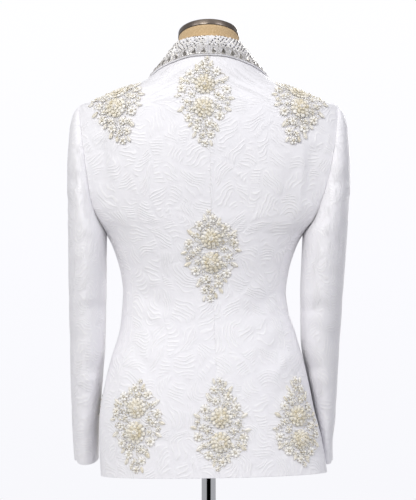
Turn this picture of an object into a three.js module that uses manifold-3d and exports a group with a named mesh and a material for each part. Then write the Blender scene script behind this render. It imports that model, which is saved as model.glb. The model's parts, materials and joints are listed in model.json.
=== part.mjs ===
// A tuxedo jacket on a limbless dress form, at its real size in millimetres.
// The origin is on the floor under the pole and +Z is up. The wearer faces -Y,
// and the wearer's left is +X. Angles go round the body: 0 at the centre back,
// 90 at the left side, 180 at the centre front.
import * as THREE from "three";
import Module from "manifold-3d";

const wasm = await Module();
wasm.setup();

// Sizes of the cloth and its seams
const WALL = 2; // jacquard with its canvas behind it
const SEAM = 0.3; // gap between two pieces at a seam
const ARMHOLE_GAP = 1.1; // gap between a panel and the sleeve set into it
const LIE = 0.9; // height at which a piece lies over the panel below it

// Heights of the jacket's main lines
const HEM_Z = 783;
const ARMPIT_Z = 1203;
const TIP_Z = 1434; // top of the armhole, at the shoulder's end
const SHOULDER_NECK_Z = 1500; // where the shoulder seam meets the collar
const NAPE_Z = 1518; // where the centre-back seam meets the collar
const NECK_BAND_Z = 1484; // above this the rows fan out to the neckline
const NECK_SIDE_RISE = 4.5; // the cloth climbs this much higher at the sides of the neck

// Horizontal sections of the worn jacket: half its width, its middle, where its
// sides turn, its back and front, and how square the oval is (2 is an ellipse).
const BODY = columns(
  ["z", "halfWidth", "centreX", "sideY", "backY", "frontY", "square"],
  [
    [780, 199.7, -9.7, 17, 114, -122, 2.2],
    [841, 196.5, -3.2, 15, 111, -121, 2.2],
    [911, 186, 3.2, 11, 107, -118, 2.25],
    [982, 170.5, 3, 6, 98, -113, 2.3],
    [1028, 156.6, 2.5, 3, 90, -107, 2.3],
    [1071, 147, 6.5, 0, 85, -103, 2.3],
    [1103, 144.2, 7.5, 0, 84, -103, 2.3],
    [1134, 147.8, 7.4, 0, 86, -107, 2.35],
    [1177, 160.2, 7.4, 1, 92, -114, 2.4],
    [1203, 173, 7, 2, 95, -117, 2.4],
    [1233, 204.5, 4.5, 2, 98, -119, 2.4],
    [1255, 223, 4.5, 2, 99, -120, 2.4],
    [1283, 238, 3, 2, 101, -119.5, 2.4],
    [1318, 245.5, 1, 2, 102, -117, 2.4],
    [1352, 247.5, 0, 2, 102, -111, 2.3],
    [1398, 241, 0, 2, 99, -97, 2.15],
    [1418, 235, 0, 2, 96, -88, 2.1],
    [1434, 224.5, 0, 2, 93, -80, 2.05],
    [1440.5, 200, 0, 2, 91.5, -76, 2],
    [1450, 177, 0, 2, 89, -71, 2],
    [1460.5, 150, 0, 2, 86, -65, 2],
    [1474, 117, 0, 2, 83, -56, 2],
    [1484, 102, 0, 2, 82, -50, 2],
    [1500, 85, 0, 4, 79, -42, 2],
    [1518, 72, 0, 6, 74, -36, 2],
    [1535, 66, 0, 8, 71, -32, 2],
  ],
);
const HEM_TILT = 3.5 / 200; // the hem hangs lower on the wearer's left
const HEM_TILT_TOP = 900;

// Soft troughs pressed into the cloth, each along a line from one point to another
const BODY_FOLDS = [
  { side: "back", x1: 186, z1: 1368, x2: 176, z2: 1252, width: 13, depth: 4.5 },
  { side: "back", x1: -184, z1: 1360, x2: -172, z2: 1258, width: 13, depth: 4.5 },
  { side: "back", x1: 152, z1: 1350, x2: 144, z2: 1236, width: 15, depth: 2 },
  { side: "back", x1: -150, z1: 1338, x2: -138, z2: 1222, width: 15, depth: 2.4 },
  { side: "back", x1: 128, z1: 1102, x2: 62, z2: 1074, width: 14, depth: 2.2 },
  { side: "back", x1: -116, z1: 1092, x2: -60, z2: 1062, width: 13, depth: 2 },
  { side: "back", x1: -142, z1: 1030, x2: -86, z2: 972, width: 15, depth: 2.4 },
  { side: "back", x1: 142, z1: 1010, x2: 96, z2: 958, width: 16, depth: 1.8 },
  { side: "front", x1: 172, z1: 1330, x2: 150, z2: 1232, width: 14, depth: 3.5 },
  { side: "front", x1: -170, z1: 1336, x2: -152, z2: 1240, width: 14, depth: 3.2 },
  { side: "front", x1: 118, z1: 1096, x2: 40, z2: 1116, width: 14, depth: 2.4 },
  { side: "front", x1: -116, z1: 1104, x2: -46, z2: 1120, width: 14, depth: 2.2 },
  { side: "front", x1: 130, z1: 1010, x2: 76, z2: 930, width: 17, depth: 2 },
  { side: "front", x1: -132, z1: 1000, x2: -70, z2: 938, width: 17, depth: 2 },
];

// Seams. The centre-back seam drifts to the wearer's right on its way down.
const CENTRE_BACK_X = columns(
  ["z", "x"],
  [[780, -18], [1000, -11.7], [1195, -4.9], [1518, 0]],
);
const SHOULDER_SEAM = 88.3; // angle of the shoulder seam and of the armhole's tip
const SIDE_SEAM_TOP = 1252; // where the side panel's seams run into the armhole
const SIDE_SEAMS = { hemBack: 56, waistBack: 58, hemFront: 114, waistFront: 112, waistZ: 1100 };

// Free edge of the left front, as its distance left of the middle
const FRONT_EDGE = columns(
  ["z", "x"],
  [
    [780, 84], [785, 60], [792, 44], [803, 30], [825, 14], [860, 2], [920, -9],
    [1000, -16], [1060, -18], [1130, -17], [1160, -10], [1215, 2], [1300, 17],
    [1400, 35], [1460, 48], [1490, 62], [1500, 70],
  ],
);
const OVERLAP_LIFT = 3.2; // the left front lies over the right one
const BUTTON = { x: 0, z: 1118, radius: 10, height: 4, gap: 0.8 };

// Armhole: an upright oval on the body's side, deeper in front than behind
const ARMHOLE = { y: 3, back: 58, front: 68, lean: 0.15 };
const ARMHOLE_MID = (TIP_Z + ARMPIT_Z) / 2;
const ARMHOLE_HALF = (TIP_Z - ARMPIT_Z) / 2;

// Sleeves: distance of the outer and inner side from the middle, by height
const LEFT_ARM = {
  side: 1,
  outer: columns(
    ["z", "x"],
    [
      [797, 240], [850, 243], [900, 245], [1000, 246.5], [1100, 248], [1198, 248.5],
      [1283, 250.5], [1326, 250], [1368, 247.5], [1396, 245], [1407, 242.5],
      [1418, 239], [1428, 232], [1434, 224.5],
    ],
  ),
  inner: columns(
    ["z", "x"],
    [[797, 197], [860, 196], [920, 191], [1000, 184], [1100, 181], [1203, 180]],
  ),
  middleY: columns(
    ["z", "y"],
    [[797, -53], [900, -37], [1000, -21], [1100, -8], [1160, 0], [1203, 3]],
  ),
};
const RIGHT_ARM = {
  side: -1,
  outer: columns(
    ["z", "x"],
    [
      [797, 223], [830, 222], [880, 227], [965, 230.6], [1028, 234], [1100, 238],
      [1198, 244.5], [1241, 247.5], [1283, 250.5], [1326, 250], [1368, 247.5],
      [1396, 245], [1407, 242.5], [1418, 239], [1428, 232], [1434, 224.5],
    ],
  ),
  inner: columns(
    ["z", "x"],
    [
      [797, 197], [830, 194], [880, 187], [960, 172], [1028, 163], [1100, 162],
      [1160, 164], [1203, 166],
    ],
  ),
  middleY: columns(
    ["z", "y"],
    [[797, -67], [880, -53.5], [960, -37], [1028, -22], [1100, -8], [1160, 0], [1203, 3]],
  ),
};
const SLEEVE_DEPTH = columns(["z", "half"], [[797, 61], [900, 66], [1000, 71], [1203, 76]]);
const CUFF_Z = 805;
const CUFF_DROP = 8; // the cuff is cut lower behind
const ELBOW_SEAM = { top: 65, cuff: 40 }; // angle round the sleeve, 0 outside and 90 behind
const FOREARM_SEAM = { top: -120, cuff: -135 };
const VENT = { start: 0.86, width: 2.4 }; // share of the sleeve's length, and its opening

const SLEEVE_FOLDS = [
  { angle: 60, z: 1300, angleWidth: 38, zWidth: 15, depth: 3.5 },
  { angle: 25, z: 1262, angleWidth: 30, zWidth: 14, depth: 2.5 },
  { angle: -70, z: 1290, angleWidth: 36, zWidth: 16, depth: 3 },
  { angle: 118, z: 1074, angleWidth: 44, zWidth: 13, depth: 3.5 },
  { angle: 128, z: 969, angleWidth: 46, zWidth: 14, depth: 3.2 },
  { angle: -110, z: 1040, angleWidth: 40, zWidth: 16, depth: 3 },
  { angle: 40, z: 1020, angleWidth: 34, zWidth: 18, depth: 2 },
];

// Rows of points up a panel, closer together where its outline bends
const PANEL_ROWS = [
  783, 787, 793, 803, 825, 860, 905, 950, 995, 1035, 1075, 1115, 1150, 1170, 1188,
  1203, 1219, 1237, 1252, 1262, 1274, 1288, 1308, 1335, 1365, 1392, 1410, 1422, 1430, 1434,
  1440.5, 1450, 1461, 1473, 1484,
];
const NECK_ROWS = [0.5, 1]; // shares of the way from the last row to the neckline
const PANEL_SHARES = [0, 0.18, 0.35, 0.51, 0.66, 0.79, 0.9, 1]; // middle to side
const FRONT_SHARES = [0, 0.12, 0.26, 0.42, 0.58, 0.73, 0.87, 1]; // edge to side
const SIDE_COLUMNS = 6;

// Shawl collar and lapel. Each row is a place along the roll, from the centre back
// to the button: the roll's top, the outer edge and the neck seam.
const COLLAR_NECK = [
  { roll: [0, 80, 1549], edge: [0, 82, 1517], seam: [0, 73, 1521] },
  { roll: [23, 76.5, 1547.5], edge: [33, 75.5, 1516], seam: [25, 70, 1520] },
  { roll: [43, 62, 1544], edge: [64, 57, 1508.5], seam: [47, 57, 1516.5] },
  { roll: [56, 38, 1539.5], edge: [88, 29, 1498.5], seam: [64, 34, 1511] },
  { roll: [60.5, 12, 1533.5], edge: [101, 3, 1489.5], seam: [71, 10, 1506] },
  { roll: [60.5, -14, 1524], edge: [112, -22, 1476], seam: [71, -14, 1503] },
  { roll: [57, -35, 1507], edge: [119, -45, 1457], seam: [64, -32, 1498] },
];
const LAPEL_LEFT = columns(
  ["rollX", "rollZ", "edgeX", "edgeZ"],
  [
    [51, 1480, 122, 1430], [44, 1440, 128, 1392], [36, 1390, 130, 1345],
    [27, 1335, 125, 1298], [15, 1275, 108, 1250], [3, 1217, 76, 1204],
    [-8, 1170, 36, 1165], [-14, 1138, 2, 1138],
  ],
);
const LAPEL_RIGHT = columns(
  ["rollX", "rollZ", "edgeX", "edgeZ"],
  [
    [51, 1480, 122, 1430], [44, 1440, 128, 1392], [36, 1390, 130, 1345],
    [27, 1335, 125, 1298], [17, 1275, 108, 1250], [11, 1217, 76, 1204],
    [19, 1170, 44, 1165], [25, 1142, 36, 1142],
  ],
);
const COLLAR_WALL = 2.2;
const COLLAR_LIE = 1.7; // the collar's own height over the cloth below it
const NECK_EDGE_LIFT = 0.9; // round the neck its edge lies over the top of a motif
const ROLL_RADIUS = 2.9;
const LAPEL_TUCK = 9; // how far the lapel turns back under itself
const STEPS_BETWEEN_ROWS = 2;

// Beaded floral motifs sewn on the cloth: where each lies, and which end is long
const MOTIFS = [
  { name: "shoulder_left", x: 161, z: 1440, side: "back", up: [0, -0.9, 1], long: "down", lie: 2.35 },
  { name: "shoulder_right", x: -159, z: 1440, side: "back", up: [0, -0.9, 1], long: "down", lie: 2.35 },
  { name: "nape", x: 7.5, z: 1445, side: "back", up: [0, 0, 1], long: "down" },
  { name: "mid_back", x: -4.5, z: 1176, side: "back", up: [0, 0, 1], long: "down" },
  { name: "hem_left", x: 126, z: 882, side: "back", up: [0, 0, 1], long: "down" },
  { name: "hem_centre", x: -21, z: 866, side: "back", up: [0, 0, 1], long: "up" },
  { name: "hem_right", x: -158, z: 867, side: "back", up: [0, 0, 1], long: "up", lie: 1.4 },
  { name: "hip_left", x: 176, z: 886, side: "front", up: [0, 0, 1], long: "down" },
  { name: "hip_right", x: -128, z: 886, side: "front", up: [0, 0, 1], long: "down" },
];
const MOTIF = { side: 50, short: 72, long: 95, plate: 1.2, rosette: 18, rise: 3.4, apart: 21 };
const MOTIF_SPOKES = 18;
const ROSETTE_RINGS = [10, 21, 32]; // distances from the motif's middle
const OUTER_RINGS = [0.76, 1]; // shares of the way out to its edge

// Dress form
const FORM_CLEAR = 8; // between the form and the cloth that hangs clear of it
const FORM_SEAT = 1.1; // between the form and the cloth that rests on it
const NECK_TUCK = 5; // the form draws in towards the neck under the collar
const FORM_BOTTOM = 850;
const FORM_SHOULDER = columns(["z", "limit"], [[1200, 168], [1330, 184], [1400, 200], [1440, 215]]);
const NECK = { halfWidth: 53, halfDepth: 60, y: 8, z: 1550, tilt: 20 };
const NECK_CAP = { overhang: 1, height: 11 };
const POLE_RADIUS = 12.5;
const POLE_SLACK = 0.3;
const POLE_DEPTH = 60; // how far the pole goes up into the form
const BASE = { radius: 180, rim: 8, top: 12, hub: 22, hubTop: 52 };

// Colours of the materials
const CLOTH = { color: 0xf4f3f8, roughness: 0.6, metalness: 0 };
const BEADED_COLLAR = { color: 0xd9d8d6, roughness: 0.35, metalness: 0.2 };
const BEADED_LACE = { color: 0xdccfae, roughness: 0.4, metalness: 0.3 };
const LINEN = { color: 0xcbb695, roughness: 0.9, metalness: 0 };
const DARK_CAP = { color: 0x4a463f, roughness: 0.35, metalness: 0.6 };
const CHROME = { color: 0xc9cbce, roughness: 0.15, metalness: 1 };
const BASE_METAL = { color: 0xb9bbbe, roughness: 0.3, metalness: 1 };

// Small helpers
function columns(names, rows) {
  return Object.fromEntries(names.map((name, k) => [name, rows.map((row) => row[k])]));
}
const point = (x, y, z) => new THREE.Vector3(x, y, z);
const radians = THREE.MathUtils.degToRad;
const degrees = THREE.MathUtils.radToDeg;
const { clamp, lerp, smoothstep } = THREE.MathUtils;
const signedPower = (value, power) => Math.sign(value) * Math.abs(value) ** power;
const shares = (count) => Array.from({ length: count + 1 }, (_, k) => k / count);

// A smooth curve through a table's rows that never overshoots them, level past its ends
function curve(at, value) {
  const last = at.length - 1;
  const gap = at.slice(1).map((next, i) => next - at[i]);
  const rise = gap.map((step, i) => (value[i + 1] - value[i]) / step);
  const slope = at.map((_, i) => {
    if (i === 0) return rise[0];
    if (i === last) return rise[last - 1];
    if (rise[i - 1] * rise[i] <= 0) return 0;
    const before = 2 * gap[i] + gap[i - 1];
    const after = gap[i] + 2 * gap[i - 1];
    return (before + after) / (before / rise[i - 1] + after / rise[i]);
  });
  return (where) => {
    const x = clamp(where, at[0], at[last]);
    let i = 0;
    while (i < last - 1 && x > at[i + 1]) i += 1;
    const t = (x - at[i]) / gap[i];
    const bend = t * t * (3 - 2 * t);
    const leave = t * (1 - t) * (1 - t) * gap[i] * slope[i];
    const arrive = t * t * (t - 1) * gap[i] * slope[i + 1];
    return value[i] * (1 - bend) + value[i + 1] * bend + leave + arrive;
  };
}

// The worn jacket's outer surface
const sectionCurves = Object.fromEntries(
  Object.keys(BODY).map((name) => [name, curve(BODY.z, BODY[name])]),
);
function section(z) {
  const sideY = sectionCurves.sideY(z);
  return {
    halfWidth: sectionCurves.halfWidth(z),
    centreX: sectionCurves.centreX(z),
    sideY,
    back: sectionCurves.backY(z) - sideY,
    front: sideY - sectionCurves.frontY(z),
    square: sectionCurves.square(z),
  };
}
function bodyPoint(angle, z) {
  const s = section(z);
  const across = signedPower(Math.sin(radians(angle)), 2 / s.square);
  const along = signedPower(Math.cos(radians(angle)), 2 / s.square);
  const depth = along > 0 ? s.back : s.front;
  return point(s.centreX + s.halfWidth * across, s.sideY + depth * along, z);
}
function angleAtX(x, z, side) {
  const s = section(z);
  const share = clamp((x - s.centreX) / s.halfWidth, -1, 1);
  const angle = degrees(Math.asin(signedPower(share, s.square / 2)));
  return side === "back" ? angle : 180 - angle;
}
function angleAtY(y, z) {
  const s = section(z);
  const share = (y - s.sideY) / (y > s.sideY ? s.back : s.front);
  return degrees(Math.acos(signedPower(share, s.square / 2)));
}

// How far a point is outside the surface, as a plain number that is 0 on it
function beyond(p) {
  const s = section(p.z);
  const depth = p.y > s.sideY ? s.back : s.front;
  const across = Math.abs((p.x - s.centreX) / s.halfWidth) ** s.square;
  return across + Math.abs((p.y - s.sideY) / depth) ** s.square - 1;
}
const PROBE = 0.5;
function gradient(p) {
  const slopeAlong = (axis) => {
    const ahead = p.clone().setComponent(axis, p.getComponent(axis) + PROBE);
    const behind = p.clone().setComponent(axis, p.getComponent(axis) - PROBE);
    return (beyond(ahead) - beyond(behind)) / (2 * PROBE);
  };
  return point(slopeAlong(0), slopeAlong(1), slopeAlong(2));
}
const outward = (p) => gradient(p).normalize();
function ontoBody(guess) {
  const p = guess.clone();
  for (let turn = 0; turn < 8; turn += 1) {
    const g = gradient(p);
    p.addScaledVector(g, -beyond(p) / g.lengthSq());
  }
  return p;
}

// Depth of the soft troughs at a point of the surface
function foldDepth(p) {
  const s = section(p.z);
  const side = p.y > s.sideY ? "back" : "front";
  const fadeAtSide = smoothstep(Math.abs(p.y - s.sideY), 0, 30);
  let depth = 0;
  for (const fold of BODY_FOLDS) {
    if (fold.side !== side) continue;
    const dx = fold.x2 - fold.x1;
    const dz = fold.z2 - fold.z1;
    const along = ((p.x - fold.x1) * dx + (p.z - fold.z1) * dz) / (dx * dx + dz * dz);
    const t = clamp(along, 0, 1);
    const away = Math.hypot(p.x - fold.x1 - t * dx, p.z - fold.z1 - t * dz);
    depth += fold.depth * Math.sqrt(4 * t * (1 - t)) * Math.exp(-((away / fold.width) ** 2));
  }
  return depth * fadeAtSide;
}
function hang(p) {
  const share = 1 - smoothstep(p.z, HEM_Z, HEM_TILT_TOP);
  return point(p.x, p.y, p.z - HEM_TILT * p.x * share);
}
// A point of the surface moved out by a lift, with the folds and the hem's tilt
function lifted(p, lift) {
  return hang(p.clone().addScaledVector(outward(p), lift - foldDepth(p)));
}

// Meshes from points
function geometryOf(points, faces) {
  const volume = faces.reduce((sum, [a, b, c]) => {
    return sum + points[a].dot(points[b].clone().cross(points[c]));
  }, 0);
  const turned = volume < 0 ? faces.map(([a, b, c]) => [a, c, b]) : faces;
  const made = new THREE.BufferGeometry();
  const numbers = points.flatMap((p) => [p.x, p.y, p.z]);
  made.setAttribute("position", new THREE.Float32BufferAttribute(numbers, 3));
  made.setIndex(turned.flat());
  return made;
}
const twoFaces = (a, b, c, d) => [[a, b, c], [a, c, d]];

// A closed wall between an outer and an inner grid with the same rows and columns
function wall(outer, inner) {
  const rows = outer.length;
  const width = outer[0].length;
  const at = (layer, i, j) => (layer * rows + i) * width + j;
  const faces = [];
  for (let i = 0; i + 1 < rows; i += 1) {
    for (let j = 0; j + 1 < width; j += 1) {
      faces.push(...twoFaces(at(0, i, j), at(0, i, j + 1), at(0, i + 1, j + 1), at(0, i + 1, j)));
      faces.push(...twoFaces(at(1, i, j), at(1, i + 1, j), at(1, i + 1, j + 1), at(1, i, j + 1)));
    }
  }
  const top = rows - 1;
  const end = width - 1;
  for (let j = 0; j < end; j += 1) {
    faces.push(...twoFaces(at(0, 0, j + 1), at(0, 0, j), at(1, 0, j), at(1, 0, j + 1)));
    faces.push(...twoFaces(at(0, top, j), at(0, top, j + 1), at(1, top, j + 1), at(1, top, j)));
  }
  for (let i = 0; i < top; i += 1) {
    faces.push(...twoFaces(at(0, i + 1, 0), at(1, i + 1, 0), at(1, i, 0), at(0, i, 0)));
    faces.push(...twoFaces(at(0, i + 1, end), at(0, i, end), at(1, i, end), at(1, i + 1, end)));
  }
  return geometryOf([...outer.flat(), ...inner.flat()], faces);
}

// A closed body through rings of points, shut by a fan at each end
function loft(rings) {
  const count = rings[0].length;
  const points = rings.flat();
  const faces = [];
  for (let i = 0; i + 1 < rings.length; i += 1) {
    for (let j = 0; j < count; j += 1) {
      const next = (j + 1) % count;
      const low = i * count;
      const high = low + count;
      faces.push(...twoFaces(low + j, low + next, high + next, high + j));
    }
  }
  const middle = (ring) => {
    const sum = ring.reduce((total, p) => total.add(p), point(0, 0, 0));
    return sum.divideScalar(ring.length);
  };
  const first = points.push(middle(rings[0])) - 1;
  const last = points.push(middle(rings.at(-1))) - 1;
  const start = (rings.length - 1) * count;
  for (let j = 0; j < count; j += 1) {
    const next = (j + 1) % count;
    faces.push([first, next, j], [last, start + j, start + next]);
  }
  return geometryOf(points, faces);
}

// A closed plate on a round grid: a top and a bottom, each a centre and its rings
function plate(topCentre, topRings, bottomCentre, bottomRings) {
  const count = topRings[0].length;
  const points = [topCentre, ...topRings.flat(), bottomCentre, ...bottomRings.flat()];
  const under = 1 + topRings.length * count;
  const faces = [];
  for (let j = 0; j < count; j += 1) {
    const next = (j + 1) % count;
    faces.push([0, 1 + j, 1 + next], [under, under + 1 + next, under + 1 + j]);
    for (let k = 0; k + 1 < topRings.length; k += 1) {
      const inner = 1 + k * count;
      const outer = inner + count;
      faces.push(...twoFaces(inner + j, outer + j, outer + next, inner + next));
      faces.push(
        ...twoFaces(under + inner + j, under + inner + next, under + outer + next, under + outer + j),
      );
    }
    const rim = 1 + (topRings.length - 1) * count;
    faces.push(...twoFaces(rim + j, under + rim + j, under + rim + next, rim + next));
  }
  return geometryOf(points, faces);
}

// Joining and cutting
function solidOf(geometry) {
  return new wasm.Manifold(
    new wasm.Mesh({
      numProp: 3,
      vertProperties: new Float32Array(geometry.getAttribute("position").array),
      triVerts: new Uint32Array(geometry.index.array),
    }),
  );
}
function geometryFrom(solid) {
  const mesh = solid.getMesh();
  const made = new THREE.BufferGeometry();
  made.setAttribute("position", new THREE.BufferAttribute(mesh.vertProperties, 3));
  made.setIndex(new THREE.BufferAttribute(mesh.triVerts, 1));
  return made;
}

const part = new THREE.Group();
function add(name, geometry, finish) {
  const mesh = new THREE.Mesh(geometry, new THREE.MeshStandardMaterial(finish));
  mesh.name = name;
  part.add(mesh);
}
const sideName = (side) => (side > 0 ? "left" : "right");

// Armhole
function armholeReach(z, front) {
  const height = clamp((z - ARMHOLE_MID) / ARMHOLE_HALF, -1, 1);
  const span = front ? ARMHOLE.front : ARMHOLE.back;
  return span * Math.sqrt(1 - height * height) * (1 - ARMHOLE.lean * height);
}
function armholeAngle(z, front) {
  const reach = armholeReach(z, front);
  return angleAtY(ARMHOLE.y + (front ? -reach : reach), z);
}

// Panels. An edge steps back from the true line by a gap measured along the cloth.
function angleForGap(angle, z, gap) {
  const perDegree = bodyPoint(angle + 0.5, z).distanceTo(bodyPoint(angle - 0.5, z));
  return gap / perDegree;
}
const centreBackX = curve(CENTRE_BACK_X.z, CENTRE_BACK_X.x);
const sideSeam = (hem, waist, front) =>
  curve([HEM_Z, SIDE_SEAMS.waistZ, SIDE_SEAM_TOP], [hem, waist, armholeAngle(SIDE_SEAM_TOP, front)]);
const sideBackSeam = sideSeam(SIDE_SEAMS.hemBack, SIDE_SEAMS.waistBack, false);
const sideFrontSeam = sideSeam(SIDE_SEAMS.hemFront, SIDE_SEAMS.waistFront, true);
const frontEdgeX = curve(FRONT_EDGE.z, FRONT_EDGE.x);

// The form's shoulders end in one ring, and the cloth goes a little above it under the collar
function shoulderRingZ(angle) {
  return lerp(NAPE_Z, SHOULDER_NECK_Z, smoothstep(Math.abs(angle), 0, 90));
}
function necklineZ(angle) {
  const turn = Math.abs(angle);
  const beside = smoothstep(turn, 10, 60) * (1 - smoothstep(turn, 84, 116));
  return shoulderRingZ(turn) + NECK_SIDE_RISE * beside;
}
// Rows up a panel: level heights, then shares of the way up to the neckline
const panelRows = [
  ...PANEL_ROWS.map((z) => () => z),
  ...NECK_ROWS.map((share) => (angle) => lerp(NECK_BAND_Z, necklineZ(angle), share)),
];
const rowLevel = [...PANEL_ROWS, ...NECK_ROWS.map((share) => lerp(NECK_BAND_Z, SHOULDER_NECK_Z, share))];

const besideHole = (z) => z >= SIDE_SEAM_TOP && z < TIP_Z;
function backAngles(side, z) {
  const middle = side * angleAtX(centreBackX(z), z, "back");
  const inner = middle + angleForGap(middle, z, SEAM / 2);
  const seam = z <= SIDE_SEAM_TOP ? sideBackSeam(z) : SHOULDER_SEAM;
  const seamEdge = seam - angleForGap(seam, z, SEAM / 2);
  const hole = armholeAngle(z, false);
  const holeEdge = besideHole(z) ? hole - angleForGap(hole, z, ARMHOLE_GAP) : seamEdge;
  const edge = Math.min(seamEdge, holeEdge);
  return PANEL_SHARES.map((share) => side * lerp(inner, edge, share));
}
function frontAngles(side, z) {
  const edgeX = side * frontEdgeX(z);
  const inner = side * angleAtX(edgeX, z, "front");
  const unwound = side > 0 ? inner : inner + 360;
  const seam = z <= SIDE_SEAM_TOP ? sideFrontSeam(z) : SHOULDER_SEAM;
  const seamEdge = seam + angleForGap(seam, z, SEAM / 2);
  const hole = armholeAngle(z, true);
  const holeEdge = besideHole(z) ? hole + angleForGap(hole, z, ARMHOLE_GAP) : seamEdge;
  const edge = Math.max(seamEdge, holeEdge);
  return FRONT_SHARES.map((share) => side * lerp(unwound, edge, share));
}
// The left front's lift over the right one, gone by the chest and away from the middle
function overlapLift(p) {
  const byHeight = 1 - smoothstep(p.z, 1215, 1300);
  const byWidth = 1 - smoothstep(p.x, 28, 75);
  return OVERLAP_LIFT * byHeight * byWidth;
}
const noLift = () => 0;

function panel(angles, side, extraLift) {
  const layer = (depth) =>
    panelRows.map((heightAt, i) => {
      return angles(side, rowLevel[i]).map((angle) => {
        const p = bodyPoint(angle, heightAt(angle));
        return lifted(p, extraLift(p) - depth);
      });
    });
  return wall(layer(0), layer(WALL));
}

// The side panel runs up to the bottom of the armhole, which cuts its top
function sidePanel(side) {
  const firstBend = 1170;
  const rows = PANEL_ROWS.filter((z) => z <= SIDE_SEAM_TOP);
  const backTop = armholeAngle(SIDE_SEAM_TOP, false);
  const frontTop = armholeAngle(SIDE_SEAM_TOP, true);
  const first = degrees(Math.acos((SIDE_SEAM_TOP - ARMHOLE_MID) / ARMHOLE_HALF));
  const strips = shares(SIDE_COLUMNS).map((share) => {
    const turn = lerp(first, 360 - first, share);
    const topZ = ARMHOLE_MID + ARMHOLE_HALF * Math.cos(radians(turn));
    const angle = armholeAngle(topZ, turn > 180);
    return { topZ: topZ - ARMHOLE_GAP, across: (angle - backTop) / (frontTop - backTop) };
  });
  const layer = (depth) =>
    rows.map((row) =>
      strips.map(({ topZ, across }) => {
        const rising = (row - firstBend) / (SIDE_SEAM_TOP - firstBend);
        const z = row <= firstBend ? row : lerp(firstBend, topZ, rising);
        const backEdge = sideBackSeam(z) + angleForGap(sideBackSeam(z), z, SEAM / 2);
        const frontEdge = sideFrontSeam(z) - angleForGap(sideFrontSeam(z), z, SEAM / 2);
        return lifted(bodyPoint(side * lerp(backEdge, frontEdge, across), z), -depth);
      }),
    );
  return wall(layer(0), layer(WALL));
}

for (const side of [1, -1]) {
  add("back_" + sideName(side), panel(backAngles, side, noLift), CLOTH);
  add("side_" + sideName(side), sidePanel(side), CLOTH);
  const frontLift = side > 0 ? overlapLift : noLift;
  add("front_" + sideName(side), panel(frontAngles, side, frontLift), CLOTH);
}

// Sleeves: each height's section is an oval that runs from the armhole's back edge
// round the outside to its front edge, and closes below the armpit
function sleeveShape(arm) {
  const outer = curve(arm.outer.z, arm.outer.x);
  const inner = curve(arm.inner.z, arm.inner.x);
  const middleY = curve(arm.middleY.z, arm.middleY.y);
  const depth = curve(SLEEVE_DEPTH.z, SLEEVE_DEPTH.half);
  return (angle, z) => {
    const turn = Math.abs(angle);
    const ahead = Math.sign(angle) || 1;
    const outerX = outer(z);
    if (z < ARMPIT_Z) {
      const half = (outerX - inner(z)) / 2;
      const x = outerX - half + half * Math.cos(radians(turn));
      return point(arm.side * x, middleY(z) + ahead * depth(z) * Math.sin(radians(turn)), z);
    }
    const reach = armholeReach(z, ahead < 0);
    const edge = bodyPoint(arm.side * armholeAngle(z, ahead < 0), z);
    const fallen = ((TIP_Z - z) / (TIP_Z - ARMPIT_Z)) ** 1.6;
    const halfDepth = Math.max(Math.hypot(1.02 * reach, depth(ARMPIT_Z) * fallen), 1e-6);
    const pastWidest = Math.sqrt(1 - (reach / halfDepth) ** 2);
    const half = (outerX - arm.side * edge.x) / (1 + pastWidest);
    const end = 180 - degrees(Math.asin(reach / halfDepth));
    const whole = degrees(Math.acos(clamp((z - ARMHOLE_MID) / ARMHOLE_HALF, -1, 1)));
    const gamma = whole > 1e-6 ? radians((turn * end) / whole) : 0;
    const x = outerX - half + half * Math.cos(gamma);
    return point(arm.side * x, ARMHOLE.y + ahead * halfDepth * Math.sin(gamma), z);
  };
}
const SLEEVE_ROWS = shares(19).map((share) => share ** 1.25);
function sleeveFoldDepth(angle, z) {
  return SLEEVE_FOLDS.reduce((depth, fold) => {
    const round = ((((angle - fold.angle + 180) % 360) + 360) % 360) - 180;
    const near = (round / fold.angleWidth) ** 2 + ((z - fold.z) / fold.zWidth) ** 2;
    return depth + fold.depth * Math.exp(-near);
  }, 0);
}
function sleevePiece(arm, columnAngles) {
  const shape = sleeveShape(arm);
  const wrap = (angle) => (angle > 180 ? angle - 360 : angle);
  const place = (angle, share) => {
    const a = wrap(angle);
    const top = ARMHOLE_MID + ARMHOLE_HALF * Math.cos(radians(a));
    const cuff = CUFF_Z - CUFF_DROP * Math.sin(radians(a));
    return shape(a, lerp(top, cuff, clamp(share, 0, 1)));
  };
  const normal = (angle, share) => {
    const step = 0.004;
    const low = Math.max(share - step, 0);
    const high = Math.min(share + step, 1);
    const round = place(angle + 0.5, share).sub(place(angle - 0.5, share));
    const down = place(angle, high).sub(place(angle, low));
    return down.cross(round).normalize().multiplyScalar(arm.side);
  };
  const outer = [];
  const inner = [];
  for (const share of SLEEVE_ROWS) {
    const outerRow = [];
    const innerRow = [];
    for (const angle of columnAngles(share)) {
      const p = place(angle, share);
      const atArmhole = share === 0;
      const out = atArmhole ? outward(p) : normal(angle, share);
      const fade = smoothstep(share, 0, 0.06);
      p.addScaledVector(out, -sleeveFoldDepth(wrap(angle), p.z) * fade);
      outerRow.push(p);
      innerRow.push(p.clone().addScaledVector(out, -WALL));
    }
    outer.push(outerRow);
    inner.push(innerRow);
  }
  return wall(outer, inner);
}
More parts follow.
